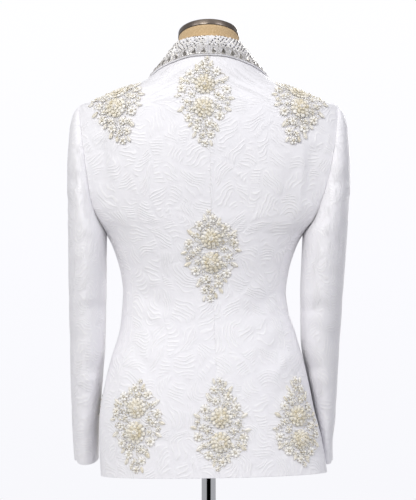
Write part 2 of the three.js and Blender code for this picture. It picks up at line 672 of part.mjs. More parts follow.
// Half the gap between the two sleeve pieces, in degrees: wider at the cuff's vent
function seamHalf(share, vented) {
  const perDegree = 0.9;
  const open = vented ? (VENT.width - SEAM) * smoothstep(share, VENT.start, 1) : 0;
  return (SEAM + open) / 2 / perDegree;
}
function topSleeveAngles(share) {
  const first = lerp(FOREARM_SEAM.top, FOREARM_SEAM.cuff, share) + seamHalf(share, false);
  const last = lerp(ELBOW_SEAM.top, ELBOW_SEAM.cuff, share) - seamHalf(share, true);
  return shares(9).map((part) => lerp(first, last, part));
}
function underSleeveAngles(share) {
  const first = lerp(ELBOW_SEAM.top, ELBOW_SEAM.cuff, share) + seamHalf(share, true);
  const last = 360 + lerp(FOREARM_SEAM.top, FOREARM_SEAM.cuff, share) - seamHalf(share, false);
  return shares(8).map((part) => lerp(first, last, part));
}
for (const arm of [LEFT_ARM, RIGHT_ARM]) {
  add("top_sleeve_" + sideName(arm.side), sleevePiece(arm, topSleeveAngles), CLOTH);
  add("under_sleeve_" + sideName(arm.side), sleevePiece(arm, underSleeveAngles), CLOTH);
}

// Collar and lapel halves: the wall rises from the neck seam to the roll, turns over
// and falls to the outer edge. On the chest it turns back under itself instead.
function collarStations(side, lapel) {
  const front = (x, z) => ontoBody(bodyPoint(angleAtX(side * x, z, "front"), z));
  const neck = COLLAR_NECK.map(({ roll, edge, seam }) => ({
    roll: point(side * roll[0], roll[1], roll[2]),
    edge: point(side * edge[0], edge[1], edge[2]),
    seam: point(side * seam[0], seam[1], seam[2]),
    onChest: 0,
  }));
  neck.at(-1).onChest = 0.5;
  neck.at(-2).onChest = 0.2;
  const chest = lapel.rollX.map((rollX, i) => {
    const roll = front(rollX, lapel.rollZ[i]);
    const edge = front(lapel.edgeX[i], lapel.edgeZ[i]);
    const across = edge.clone().sub(roll).setLength(Math.min(LAPEL_TUCK, roll.distanceTo(edge) / 2));
    return { roll, edge, seam: roll.clone().add(across), onChest: 1 };
  });
  return [...neck, ...chest];
}
function fineStations(rows) {
  const at = rows.map((_, i) => i);
  const fine = shares((rows.length - 1) * STEPS_BETWEEN_ROWS).map((s) => s * (rows.length - 1));
  const along = (pick) => curve(at, rows.map(pick));
  const track = (key) => ["x", "y", "z"].map((axis) => along((row) => row[key][axis]));
  const read = (tracks, s) => point(...tracks.map((f) => f(s)));
  const [roll, edge, seam] = ["roll", "edge", "seam"].map(track);
  const onChest = along((row) => row.onChest);
  return fine.map((s) => ({
    roll: read(roll, s),
    edge: read(edge, s),
    seam: read(seam, s),
    onChest: onChest(s),
  }));
}
// Moves a point out until it is at least a lift above the cloth
function clearOfCloth(p, lift, extraLift) {
  const base = ontoBody(p);
  const out = outward(base);
  const height = p.clone().sub(base).dot(out);
  const need = lift + extraLift(base);
  return height >= need ? p : base.addScaledVector(out, need);
}
function collarHalf(side, lapel, extraLift) {
  const stations = fineStations(collarStations(side, lapel));
  const grid = stations.map(({ roll, edge, seam, onChest }, i) => {
    const before = stations[Math.max(i - 1, 0)].roll;
    const after = stations[Math.min(i + 1, stations.length - 1)].roll;
    const along = after.clone().sub(before).normalize().multiplyScalar(side);
    const lie = COLLAR_LIE + COLLAR_WALL / 2;
    const surface = outward(ontoBody(roll));
    const level = point(surface.x, surface.y, 0).normalize();
    const out = level.lerp(surface, onChest).normalize();
    out.addScaledVector(along, -out.dot(along)).normalize();
    const up = along.clone().cross(out);
    const raised = onChest * (lie + ROLL_RADIUS + extraLift(roll));
    const apex = roll.clone().addScaledVector(surface, raised);
    const centre = apex.clone().addScaledVector(up, -ROLL_RADIUS);
    const innerTurn = centre.clone().addScaledVector(out, -ROLL_RADIUS);
    const outerTurn = centre.clone().addScaledVector(out, ROLL_RADIUS);
    const onTop = (p) => clearOfCloth(p, lie, extraLift);
    const low = onChest > 0 ? onTop(seam) : seam;
    const below = ontoBody(edge);
    const rest = lie + extraLift(below) + NECK_EDGE_LIFT * (1 - onChest);
    const edgeOn = below.clone().addScaledVector(outward(below), rest);
    const fall = (share, belly) =>
      onTop(outerTurn.clone().lerp(edgeOn, share).addScaledVector(out, belly));
    return [low, innerTurn, apex, outerTurn, fall(0.33, 1.2), fall(0.67, 0.8), edgeOn];
  });
  const normals = grid.map((row, i) =>
    row.map((_, j) => {
      const down = grid[Math.min(i + 1, grid.length - 1)][j]
        .clone()
        .sub(grid[Math.max(i - 1, 0)][j]);
      const across = row[Math.min(j + 1, row.length - 1)].clone().sub(row[Math.max(j - 1, 0)]);
      return across.cross(down).normalize().multiplyScalar(side);
    }),
  );
  const layer = (offset) => {
    const moved = grid.map((row, i) =>
      row.map((p, j) => p.clone().addScaledVector(normals[i][j], offset)),
    );
    moved[0].forEach((p) => p.setX((side * SEAM) / 2));
    return moved;
  };
  return wall(layer(COLLAR_WALL / 2), layer(-COLLAR_WALL / 2));
}
add("collar_left", collarHalf(1, LAPEL_LEFT, overlapLift), BEADED_COLLAR);
add("collar_right", collarHalf(-1, LAPEL_RIGHT, noLift), BEADED_COLLAR);

// Front button: a covered disc that lies on the left front
function buttonGeometry() {
  const base = bodyPoint(angleAtX(BUTTON.x, BUTTON.z, "front"), BUTTON.z);
  const out = outward(base);
  const { radius, height } = BUTTON;
  const profile = [
    [0, 0], [radius - 1, 0], [radius, 1], [radius, height - 1.5], [radius - 2, height], [0, height],
  ];
  const disc = new THREE.LatheGeometry(profile.map(([r, h]) => new THREE.Vector2(r, h)), 20);
  const turn = new THREE.Quaternion().setFromUnitVectors(point(0, 1, 0), out);
  const seat = base.addScaledVector(out, OVERLAP_LIFT - foldDepth(base) + BUTTON.gap);
  return disc.applyQuaternion(turn).translate(seat.x, seat.y, seat.z);
}
add("button_front", buttonGeometry(), CLOTH);

// Motifs: a lobed plate that rises in two domed rosettes, laid on the surface by
// walking out from its middle
function walk(start, direction, distance) {
  const count = Math.max(1, Math.ceil(distance / 8));
  let p = start;
  const heading = direction.clone();
  for (let step = 0; step < count; step += 1) {
    p = ontoBody(p.clone().addScaledVector(heading, distance / count));
    const out = outward(p);
    heading.addScaledVector(out, -heading.dot(out)).normalize();
  }
  return p;
}
function motif({ x, z, side, up, long, lie = LIE }) {
  const centre = bodyPoint(angleAtX(x, z, side), z);
  const out = outward(centre);
  const rise = point(...up);
  rise.addScaledVector(out, -rise.dot(out)).normalize();
  const across = rise.clone().cross(out);
  const longWay = long === "up" ? 1 : -1;
  const reach = (turn) => {
    const upward = Math.cos(turn);
    const tall = upward * longWay > 0 ? MOTIF.long : MOTIF.short;
    const slant = Math.abs(Math.sin(turn) / MOTIF.side) ** 1.2 + Math.abs(upward / tall) ** 1.2;
    return slant ** (-1 / 1.2) * (1 + 0.08 * Math.cos(6 * turn));
  };
  const rosetteRise = (right, upward) => {
    const away = Math.hypot(right, Math.abs(upward) - MOTIF.apart) / MOTIF.rosette;
    return away < 1 ? MOTIF.rise * Math.sqrt(1 - away * away) : 0;
  };
  const spot = (distance, turn) => {
    const right = distance * Math.sin(turn);
    const upward = distance * Math.cos(turn);
    const heading = across.clone().multiplyScalar(Math.sin(turn));
    heading.addScaledVector(rise, Math.cos(turn));
    return { p: walk(centre, heading, distance), height: rosetteRise(right, upward) };
  };
  const turns = Array.from({ length: MOTIF_SPOKES }, (_, k) => (k * 2 * Math.PI) / MOTIF_SPOKES);
  const rings = [
    ...ROSETTE_RINGS.map((distance) => turns.map((turn) => spot(distance, turn))),
    ...OUTER_RINGS.map((share) => turns.map((turn) => spot(share * reach(turn), turn))),
  ];
  const under = (p) => lifted(p, lie);
  const top = ({ p, height }) => lifted(p, lie + MOTIF.plate + height);
  const topRings = rings.map((ring) => ring.map(top));
  const lowRings = rings.map((ring) => ring.map(({ p }) => under(p)));
  return plate(lifted(centre, lie + MOTIF.plate), topRings, under(centre), lowRings);
}
for (const row of MOTIFS) {
  add("motif_" + row.name, motif(row), BEADED_LACE);
}

// Dress form. Its shoulders carry the jacket; below them it stands clear of the cloth.
const shoulderLimit = curve(FORM_SHOULDER.z, FORM_SHOULDER.limit);
function formPoint(angle, z) {
  const p = bodyPoint(angle, z);
  const clear = lerp(FORM_CLEAR, FORM_SEAT, smoothstep(z, 1400, 1440));
  const inset = p.clone().addScaledVector(outward(p), -WALL - clear);
  if (z > 1445) return inset;
  const soft = 6;
  const limit = shoulderLimit(z);
  const over = Math.log1p(Math.exp((Math.abs(inset.x) - limit) / soft)) * soft;
  inset.x -= Math.sign(inset.x) * over;
  return inset;
}
function formAngles(z) {
  const middle = angleAtX(centreBackX(z), z, "back");
  const neckEdge = frontEdgeX(Math.max(z, TIP_Z));
  const edge = angleAtX(neckEdge, z, "front");
  const back = (side) => PANEL_SHARES.map((share) => lerp(middle, side * SHOULDER_SEAM, share));
  const front = (side) => {
    const inner = side > 0 ? edge : -edge;
    return FRONT_SHARES.map((share) => lerp(side * SHOULDER_SEAM, inner, share));
  };
  const chest = [0.33, 0.67].map((share) => lerp(edge, 360 - edge, share));
  const rightHalf = [...front(-1).reverse(), ...back(-1).reverse().slice(1, -1)];
  return [...back(1), ...front(1).slice(1), ...chest, ...rightHalf];
}
function neckPoint(angle, inset, above) {
  const tilt = radians(NECK.tilt);
  const across = (NECK.halfWidth - inset) * Math.sin(radians(angle));
  const along = (NECK.halfDepth - inset) * Math.cos(radians(angle));
  const y = NECK.y + along * Math.cos(tilt) - above * Math.sin(tilt);
  return point(across, y, NECK.z + along * Math.sin(tilt) + above * Math.cos(tilt));
}
function formTorso() {
  const low = [FORM_BOTTOM, 905, 950, 995, 1035, 1075, 1115, 1150, 1203, 1252, 1305, 1365, 1410];
  const rows = [...low, ...PANEL_ROWS.filter((z) => z >= TIP_Z)];
  const rings = rows.map((z) => formAngles(z).map((angle) => formPoint(angle, z)));
  const neckline = formAngles(SHOULDER_NECK_Z);
  const frontDip = 14;
  for (const share of NECK_ROWS) {
    rings.push(
      neckline.map((angle) => {
        const turn = Math.abs(angle > 180 ? angle - 360 : angle);
        const dip = frontDip * smoothstep(turn, 120, 180);
        const p = formPoint(angle, lerp(NECK_BAND_Z, shoulderRingZ(turn) - dip, share));
        return p.addScaledVector(outward(p), -NECK_TUCK * share * share);
      }),
    );
  }
  const foot = rings.at(-1);
  for (const share of [0.12, 0.3, 0.6, 1]) {
    const narrowing = 1 - (1 - share) ** 4;
    rings.push(
      neckline.map((angle, j) => {
        const top = neckPoint(angle, 0, 0);
        const x = lerp(foot[j].x, top.x, narrowing);
        const y = lerp(foot[j].y, top.y, narrowing);
        return point(x, y, lerp(foot[j].z, top.z, share));
      }),
    );
  }
  return geometryFrom(solidOf(loft(rings)).subtract(poleBore()));
}
function poleBore() {
  const radius = POLE_RADIUS + POLE_SLACK;
  const ring = (z) =>
    Array.from({ length: 24 }, (_, k) => {
      const turn = (k * 2 * Math.PI) / 24;
      return point(radius * Math.cos(turn), radius * Math.sin(turn), z);
    });
  return solidOf(loft([ring(FORM_BOTTOM - 10), ring(FORM_BOTTOM + POLE_DEPTH)]));
}
add("form_torso", formTorso(), LINEN);

const capAngles = shares(32).slice(0, -1).map((share) => share * 360);
const capRing = (above, inset) => capAngles.map((angle) => neckPoint(angle, inset, above));
const capRings = [
  capRing(SEAM, -NECK_CAP.overhang),
  capRing(SEAM + NECK_CAP.height - 1.5, -NECK_CAP.overhang),
  capRing(SEAM + NECK_CAP.height, 1),
];
add("form_neck_cap", loft(capRings), DARK_CAP);

const poleTop = FORM_BOTTOM + POLE_DEPTH - SEAM;
const poleBottom = BASE.top + SEAM;
const pole = new THREE.CylinderGeometry(POLE_RADIUS, POLE_RADIUS, poleTop - poleBottom, 24);
pole.rotateX(Math.PI / 2).translate(0, 0, (poleTop + poleBottom) / 2);
add("form_pole", pole, CHROME);

const bore = POLE_RADIUS + POLE_SLACK;
const baseProfile = [
  [0, 0], [BASE.radius, 0], [BASE.radius, BASE.rim], [BASE.radius - 5, BASE.top],
  [BASE.hub + 8, BASE.top + 3], [BASE.hub, BASE.top + 11], [BASE.hub, BASE.hubTop - 2],
  [BASE.hub - 2, BASE.hubTop], [bore, BASE.hubTop], [bore, BASE.top], [0, BASE.top],
];
const base = new THREE.LatheGeometry(baseProfile.map(([r, h]) => new THREE.Vector2(r, h)), 36);
add("form_base", base.rotateX(Math.PI / 2), BASE_METAL);

export default part;
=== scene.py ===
"""A white jacquard tuxedo jacket on a dress form: cloth, beads and finishes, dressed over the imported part.

Lengths in the formulas are in millimetres, as on a pattern sheet, and turn into metres where a mesh is made.
The wearer faces -Y and the wearer's left is +X.
"""
import json

import bpy
import numpy as np
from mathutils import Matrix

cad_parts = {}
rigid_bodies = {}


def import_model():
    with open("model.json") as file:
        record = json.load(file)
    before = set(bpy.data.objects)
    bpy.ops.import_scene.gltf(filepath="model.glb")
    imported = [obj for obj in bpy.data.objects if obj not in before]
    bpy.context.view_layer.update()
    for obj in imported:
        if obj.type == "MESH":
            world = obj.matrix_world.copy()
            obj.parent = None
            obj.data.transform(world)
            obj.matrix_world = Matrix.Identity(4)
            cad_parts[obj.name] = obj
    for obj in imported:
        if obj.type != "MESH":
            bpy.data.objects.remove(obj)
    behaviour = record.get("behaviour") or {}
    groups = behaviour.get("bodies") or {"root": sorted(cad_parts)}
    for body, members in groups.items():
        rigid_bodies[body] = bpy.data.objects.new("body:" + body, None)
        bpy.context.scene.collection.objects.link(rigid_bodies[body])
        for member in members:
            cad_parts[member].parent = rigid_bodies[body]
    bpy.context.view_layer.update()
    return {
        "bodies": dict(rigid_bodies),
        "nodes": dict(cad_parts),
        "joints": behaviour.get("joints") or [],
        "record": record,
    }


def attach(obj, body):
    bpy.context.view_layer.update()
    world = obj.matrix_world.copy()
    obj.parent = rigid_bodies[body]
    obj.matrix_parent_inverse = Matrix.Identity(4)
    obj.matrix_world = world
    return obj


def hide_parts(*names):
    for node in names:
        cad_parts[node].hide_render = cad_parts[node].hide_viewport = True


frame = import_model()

# %% [markdown]
# The jacket is cut cloth that keeps the form of the figure below it. Its form comes from a table of level
# sections, as a tailor's measures do: how wide, how deep and how square the body is at each height.
# A smooth curve through each column gives every height between the rows. A curve that never overshoots
# its rows is chosen, because a plain spline would swing out where the shoulder turns.
# %% Smooth curves through tables


def curve(at, value):
    """A curve through a table's rows: cubic pieces, each slope the harmonic mean of those beside it."""
    at, value = np.array(at, float), np.array(value, float)
    gap = np.diff(at)
    rise = np.diff(value) / gap
    before = 2 * gap[1:] + gap[:-1]
    after = gap[1:] + 2 * gap[:-1]
    turning = rise[:-1] * rise[1:] <= 0
    low = np.where(turning, 1, rise[:-1])
    high = np.where(turning, 1, rise[1:])
    inside = np.where(turning, 0, (before + after) / (before / low + after / high))
    slope = np.concatenate([rise[:1], inside, rise[-1:]])

    def read(where):
        x = np.clip(where, at[0], at[-1])
        i = np.clip(np.searchsorted(at, x, side="right") - 1, 0, len(gap) - 1)
        t = (x - at[i]) / gap[i]
        bend = t * t * (3 - 2 * t)
        leave = t * (1 - t) ** 2 * gap[i] * slope[i]
        arrive = t * t * (t - 1) * gap[i] * slope[i + 1]
        return value[i] * (1 - bend) + value[i + 1] * bend + leave + arrive

    return read


def table_curve(rows):
    """The curve through a table of (place, value) rows."""
    return curve(*np.transpose(rows))


def smoothstep(x, low, high):
    """0 below low, 1 above high, and an S between them: 3t^2 - 2t^3."""
    t = np.clip((x - low) / (high - low), 0, 1)
    return t * t * (3 - 2 * t)


def unit(v):
    """Each vector scaled to a length of one."""
    return v / np.maximum(np.linalg.norm(v, axis=-1, keepdims=True), 1e-12)


# %% Measures of the worn jacket, by height
HEM_Z, ARMPIT_Z, SHOULDER_TIP_Z = 783, 1203, 1434
NECK_BAND_Z, SHOULDER_NECK_Z, NAPE_Z = 1484, 1500, 1518
BODY = np.array(
    [  # z, half width, middle x, y where the sides turn, back y, front y, squareness
        [780, 199.7, -9.7, 17, 114, -122, 2.2],
        [841, 196.5, -3.2, 15, 111, -121, 2.2],
        [911, 186, 3.2, 11, 107, -118, 2.25],
        [982, 170.5, 3, 6, 98, -113, 2.3],
        [1028, 156.6, 2.5, 3, 90, -107, 2.3],
        [1071, 147, 6.5, 0, 85, -103, 2.3],
        [1103, 144.2, 7.5, 0, 84, -103, 2.3],
        [1134, 147.8, 7.4, 0, 86, -107, 2.35],
        [1177, 160.2, 7.4, 1, 92, -114, 2.4],
        [1203, 173, 7, 2, 95, -117, 2.4],
        [1233, 204.5, 4.5, 2, 98, -119, 2.4],
        [1255, 223, 4.5, 2, 99, -120, 2.4],
        [1283, 238, 3, 2, 101, -119.5, 2.4],
        [1318, 245.5, 1, 2, 102, -117, 2.4],
        [1352, 247.5, 0, 2, 102, -111, 2.3],
        [1398, 241, 0, 2, 99, -97, 2.15],
        [1418, 235, 0, 2, 96, -88, 2.1],
        [1434, 224.5, 0, 2, 93, -80, 2.05],
        [1440.5, 200, 0, 2, 91.5, -76, 2],
        [1450, 177, 0, 2, 89, -71, 2],
        [1460.5, 150, 0, 2, 86, -65, 2],
        [1474, 117, 0, 2, 83, -56, 2],
        [1484, 102, 0, 2, 82, -50, 2],
        [1500, 85, 0, 4, 79, -42, 2],
        [1518, 72, 0, 6, 74, -36, 2],
        [1535, 66, 0, 8, 71, -32, 2],
    ]
)
LEVEL_STEP = 0.5
body_levels = np.arange(BODY[0, 0], BODY[-1, 0] + LEVEL_STEP / 2, LEVEL_STEP)
measures = np.array([curve(BODY[:, 0], column)(body_levels) for column in BODY.T[1:]])


def section(z):
    """Half width, middle x, turning y, depth behind and before it, and squareness at height z."""
    half, centre, side, back, front, square = (np.interp(z, body_levels, row) for row in measures)
    return half, centre, side, back - side, side - front, square


def body_point(angle, z):
    """A squared oval: x = middle + half * sin^(2/n), y = turn + depth * cos^(2/n), with each sign kept."""
    half, centre, side, back, front, square = section(z)
    sine, cosine = np.sin(np.radians(angle)), np.cos(np.radians(angle))
    across = np.sign(sine) * np.abs(sine) ** (2 / square)
    along = np.sign(cosine) * np.abs(cosine) ** (2 / square)
    y = side + np.where(along > 0, back, front) * along
    return np.stack([centre + half * across, y, z + 0 * across], axis=-1)


def angle_at_x(x, z, side):
    """The angle at which the oval at height z reaches x, behind or in front."""
    half, centre, *_, square = section(z)
    share = np.clip((x - centre) / half, -1, 1)
    angle = np.degrees(np.arcsin(np.sign(share) * np.abs(share) ** (square / 2)))
    return angle if side == "back" else 180 - angle


def angle_at_y(y, z):
    """The angle at which the oval at height z reaches y on the wearer's left side."""
    _, _, side, back, front, square = section(z)
    share = np.clip((y - side) / np.where(y > side, back, front), -1, 1)
    return np.degrees(np.arccos(np.sign(share) * np.abs(share) ** (square / 2)))


def beyond(p):
    """How far p is outside the oval: |dx/half|^n + |dy/depth|^n - 1."""
    half, centre, side, back, front, square = section(p[..., 2])
    dy = p[..., 1] - side
    across = np.abs((p[..., 0] - centre) / half) ** square
    return across + np.abs(dy / np.where(dy > 0, back, front)) ** square - 1


def gradient(p):
    """The slope of beyond along each axis, measured half a millimetre to each side."""
    steps = 0.5 * np.eye(3)
    return np.stack([beyond(p + step) - beyond(p - step) for step in steps], axis=-1)


def outward(p):
    """The body's outward direction at p."""
    return unit(gradient(p))


def onto_body(p, turns=8):
    """Newton steps back to the surface: p less its excess along the gradient."""
    for _ in range(turns):
        g = gradient(p)
        p = p - g * (beyond(p) / np.maximum((g * g).sum(-1), 1e-12))[..., None]
    return p


print("back at the waist:", body_point(0, np.array(1103.0)).round(1))

# %% [markdown]
# Pressed cloth on a form is never quite smooth. It sinks between the shoulder blade and the sleeve, breaks
# across the small of the back, and lies in long shallow swells over the hips. Each crease is a line with a
# width and a depth, deepest at its middle and fading out at both ends. They are listed one by one, uneven in
# length and spacing, because a noise would give an even crumple that no tailored back has.
# %% Creases of the body
FOLDS = np.array(
    [  # behind 1 or before -1, start x and z, end x and z, width, depth (below 0 it is a ridge)
        [1, 186, 1368, 176, 1252, 13, 4.5],
        [1, -184, 1360, -172, 1258, 13, 4.5],
        [1, 152, 1350, 144, 1236, 15, 2],
        [1, -150, 1338, -138, 1222, 15, 2.4],
        [1, 128, 1102, 62, 1074, 14, 2.2],
        [1, -116, 1092, -60, 1062, 13, 2],
        [1, -142, 1030, -86, 972, 15, 2.4],
        [1, 142, 1010, 96, 958, 16, 1.8],
        [-1, 172, 1330, 150, 1232, 14, 3.5],
        [-1, -170, 1336, -152, 1240, 14, 3.2],
        [-1, 118, 1096, 40, 1116, 14, 2.4],
        [-1, -116, 1104, -46, 1120, 14, 2.2],
        [-1, 130, 1010, 76, 930, 17, 2],
        [-1, -132, 1000, -70, 938, 17, 2],
        [1, 168, 1356, 160, 1246, 6, -1.3],
        [1, -167, 1352, -156, 1240, 6, -1.4],
        [1, 196, 1334, 184, 1270, 5, 1.1],
        [1, -198, 1330, -185, 1262, 5, 1.2],
        [1, 136, 1300, 120, 1206, 8, 0.9],
        [1, -132, 1296, -112, 1190, 8, 1.0],
        [1, 110, 1128, 44, 1094, 7, -0.8],
        [1, -104, 1120, -40, 1088, 7, -0.9],
        [1, 120, 1060, 70, 1030, 8, 0.9],
        [1, -122, 1056, -58, 1014, 9, 1.1],
        [1, -150, 1004, -104, 946, 8, -1.2],
        [1, -160, 968, -112, 912, 9, 1.4],
        [1, 152, 978, 116, 926, 9, 1.0],
        [1, 60, 990, 30, 900, 14, 0.9],
        [1, -52, 984, -64, 890, 13, 0.8],
        [1, 92, 930, 84, 826, 12, -0.8],
        [1, -96, 940, -106, 818, 12, -0.9],
        [1, 30, 1420, 86, 1392, 12, 0.8],
        [1, -34, 1424, -82, 1388, 12, 0.8],
        [-1, 150, 1300, 128, 1216, 7, 1.0],
        [-1, -146, 1310, -126, 1222, 7, 1.0],
        [-1, 104, 1140, 34, 1128, 8, 1.0],
        [-1, -100, 1142, -52, 1130, 8, 0.9],
        [-1, 96, 1066, 42, 1096, 8, -1.0],
        [-1, -98, 1070, -50, 1100, 8, -0.9],
        [-1, 148, 960, 108, 880, 12, 1.1],
        [-1, -150, 954, -112, 872, 12, 1.2],
        [-1, 70, 920, 58, 838, 12, -0.7],
        [-1, -64, 930, -56, 850, 12, -0.7],
    ]
)
HEM_TILT, HANG_TOP_Z = 3.5 / 200, 900  # the hem is 3.5 mm lower where x is 200
SIDE_FADE = 30  # creases fade out this near the line where back turns to front


def fold_depth(p):
    """Sum over the creases of depth * sqrt(4t(1-t)) along the line * exp(-(distance/width)^2) across it."""
    x, z = p[..., 0], p[..., 2]
    _, _, side, *_ = section(z)
    behind = np.where(p[..., 1] > side, 1, -1)
    depth = np.zeros(x.shape)
    for where, x1, z1, x2, z2, width, deep in FOLDS:
        dx, dz = x2 - x1, z2 - z1
        t = np.clip(((x - x1) * dx + (z - z1) * dz) / (dx * dx + dz * dz), 0, 1)
        away = np.hypot(x - x1 - t * dx, z - z1 - t * dz)
        depth += (behind == where) * deep * np.sqrt(4 * t * (1 - t)) * np.exp(-((away / width) ** 2))
    return depth * smoothstep(np.abs(p[..., 1] - side), 0, SIDE_FADE)


def hang(p):
    """The hem hangs a little lower on the wearer's left: z less tilt * x, gone by 900 mm above the floor."""
    share = 1 - smoothstep(p[..., 2], HEM_Z, HANG_TOP_Z)
    return p - np.stack([0 * share, 0 * share, HEM_TILT * p[..., 0] * share], axis=-1)


def lifted(p, lift):
    """A point of the body's surface moved out along its normal by lift less the creases' depth."""
    return hang(p + outward(p) * (lift - fold_depth(p))[..., None])


# %% [markdown]
# A mesh goes into Blender as plain arrays of points and faces, which is the quickest way for large grids.
# Each piece carries a UV map in metres of cloth, so that a woven pattern keeps its true size, and may carry
# one number a point, its tone, that tells the beads of one piece apart.
# %% Meshes from arrays


def make_piece(name, blocks, materials, slot, smooth=True, replaces=None):
    """One object from blocks of (points, arrays of faces, number of the material, tone, flat places)."""
    points, loops, sizes, kinds, tones, uvs, start = [], [], [], [], [], [], 0
    for verts, faces, kind, tone, uv in blocks:
        points.append(verts.reshape(-1, 3))
        count = len(points[-1])
        tones.append(np.broadcast_to(np.asarray(tone, float), (count,)))
        uvs.append(np.zeros((count, 2)) if uv is None else uv.reshape(-1, 2))
        for group in faces:
            loops.append(group.ravel() + start)
            sizes.append(np.full(len(group), group.shape[1]))
            kinds.append(np.full(len(group), kind))
        start += count
    points = np.concatenate(points) / 1000
    loops, sizes, kinds = np.concatenate(loops), np.concatenate(sizes), np.concatenate(kinds)
    mesh = bpy.data.meshes.new(name)
    mesh.vertices.add(len(points))
    mesh.vertices.foreach_set("co", points.astype(np.float32).ravel())
    mesh.loops.add(len(loops))
    mesh.loops.foreach_set("vertex_index", loops.astype(np.int32))
    mesh.polygons.add(len(sizes))
    starts = np.concatenate([[0], np.cumsum(sizes)[:-1]])
    mesh.polygons.foreach_set("loop_start", starts.astype(np.int32))
    mesh.polygons.foreach_set("material_index", kinds.astype(np.int32))
    mesh.polygons.foreach_set("use_smooth", np.full(len(sizes), smooth))
    cloth_map = mesh.uv_layers.new(name="cloth")
    cloth_map.data.foreach_set("uv", (np.concatenate(uvs)[loops] / 1000).astype(np.float32).ravel())
    tone = mesh.attributes.new("tone", "FLOAT", "POINT")
    tone.data.foreach_set("value", np.concatenate(tones).astype(np.float32))
    mesh.update(calc_edges=True)
    mesh.validate()
    for material in materials:
        mesh.materials.append(material)
    piece = bpy.data.objects.new(name, mesh)
    bpy.context.scene.collection.objects.link(piece)
    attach(piece, "root")
    if replaces:
        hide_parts(*replaces)
    print(name, "points", len(points), "triangles", int((sizes - 2).sum()))
    return piece


def grid_quads(rows, columns, offset=0, wrap=False):
    """Index quads of a grid of points, the last column joined to the first if it wraps."""
    i, j = np.meshgrid(np.arange(rows - 1), np.arange(columns if wrap else columns - 1), indexing="ij")
    k = (j + 1) % columns
    quads = np.stack([i * columns + j, i * columns + k, (i + 1) * columns + k, (i + 1) * columns + j], -1)
    return quads.reshape(-1, 4) + offset


def facing_out(points, faces):
    """The faces, turned round if the volume that they enclose is below zero."""
    flat = points.reshape(-1, 3)
    volume = 0
    for group in faces:
        for k in range(1, group.shape[1] - 1):
            a, b, c = flat[group[:, 0]], flat[group[:, k]], flat[group[:, k + 1]]
            volume += (a * np.cross(b, c)).sum()
    return faces if volume > 0 else [group[:, ::-1] for group in faces]


def closed_wall(outer, inner):
    """Points and faces of a wall between two grids with the same rows and columns, shut round its rim."""
    rows, columns = outer.shape[:2]
    count = rows * columns
    rim = np.concatenate(
        [
            np.arange(columns - 1),
            np.arange(rows - 1) * columns + columns - 1,
            (rows - 1) * columns + np.arange(columns - 1, 0, -1),
            np.arange(rows - 1, 0, -1) * columns,
        ]
    )
    after = np.roll(rim, -1)
    shut = np.stack([after, rim, rim + count, after + count], -1)
    points = np.concatenate([outer.reshape(-1, 3), inner.reshape(-1, 3)])
    faces = [grid_quads(rows, columns), grid_quads(rows, columns, count)[:, ::-1], shut]
    return points, facing_out(points, faces)


# %% [markdown]
# Each material is built from nodes. One small function adds a node with its settings and its links, so that a
# finish reads as a short list of what it is made of.
# %% Nodes and colours


def linear(colour):
    """An sRGB hex colour as the linear numbers that a shader takes."""
    parts = np.array([int(colour[k : k + 2], 16) for k in (1, 3, 5)]) / 255
    low, high = parts / 12.92, ((parts + 0.055) / 1.055) ** 2.4
    return (*np.where(parts <= 0.04045, low, high), 1)


def add(tree, kind, sockets=None, **settings):
    """A node of this kind with its settings; each socket takes a number or another node's output."""
    node = tree.nodes.new("ShaderNode" + kind)
    for name, value in settings.items():
        setattr(node, name, value)
    for key, value in (sockets or {}).items():
        if isinstance(value, bpy.types.NodeSocket):
            tree.links.new(value, node.inputs[key])
        else:
            node.inputs[key].default_value = value
    return node


def new_finish(name):
    """An empty material and its node tree."""
    material = bpy.data.materials.new(name)
    material.use_nodes = True
    material.node_tree.nodes.clear()
    return material, material.node_tree


def shade(tree, sockets):
    """The surface shader and the output that it goes to."""
    shader = add(tree, "BsdfPrincipled", sockets)
    add(tree, "OutputMaterial", {"Surface": shader.outputs[0]})
    return shader


def cloth_in_mm(tree):
    """The piece's own cloth map, in millimetres."""
    cloth = add(tree, "UVMap", uv_map="cloth").outputs[0]
    return add(tree, "VectorMath", {0: cloth, 1: (1000, 1000, 1000)}, operation="MULTIPLY").outputs[0]


def tint(tree, factor, stops):
    """A colour for each value of factor, from a row of (place, colour) stops."""
    node = add(tree, "ValToRGB", {0: factor})
    ramp = node.color_ramp
    for _ in stops[2:]:
        ramp.elements.new(0.5)
    for element, (place, colour) in zip(ramp.elements, stops):
        element.position = place
        element.color = linear(colour)
    return node.outputs["Color"]


# %% [markdown]
# The cloth is a white jacquard with leaves woven so that they puff up: each leaf is a patch of curved ribs
# six millimetres apart, turned its own way, and the flat ground shows between the leaves. Cells of a Voronoi
# pattern, bent by a soft noise, give the leaves' outlines, and the distance from a point beside each cell
# gives its ribs. An image could not follow the cloth at every scale, and the nodes can.
# %% Woven jacquard finish
LEAF_WIDE, LEAF_LONG, RIB_PITCH = 30, 46, 6.2
OUTLINE_BEND, BEND_LENGTH = 46, 55  # how far, and over what length, the leaves' outlines wander
PUCKER_LENGTH, PATCH_LENGTH = 17, 140  # small hollows of the cloth, and wide patches of another white
RELIEF_DEPTH = 0.00068  # metres
TURN = 6.283  # one turn in radians


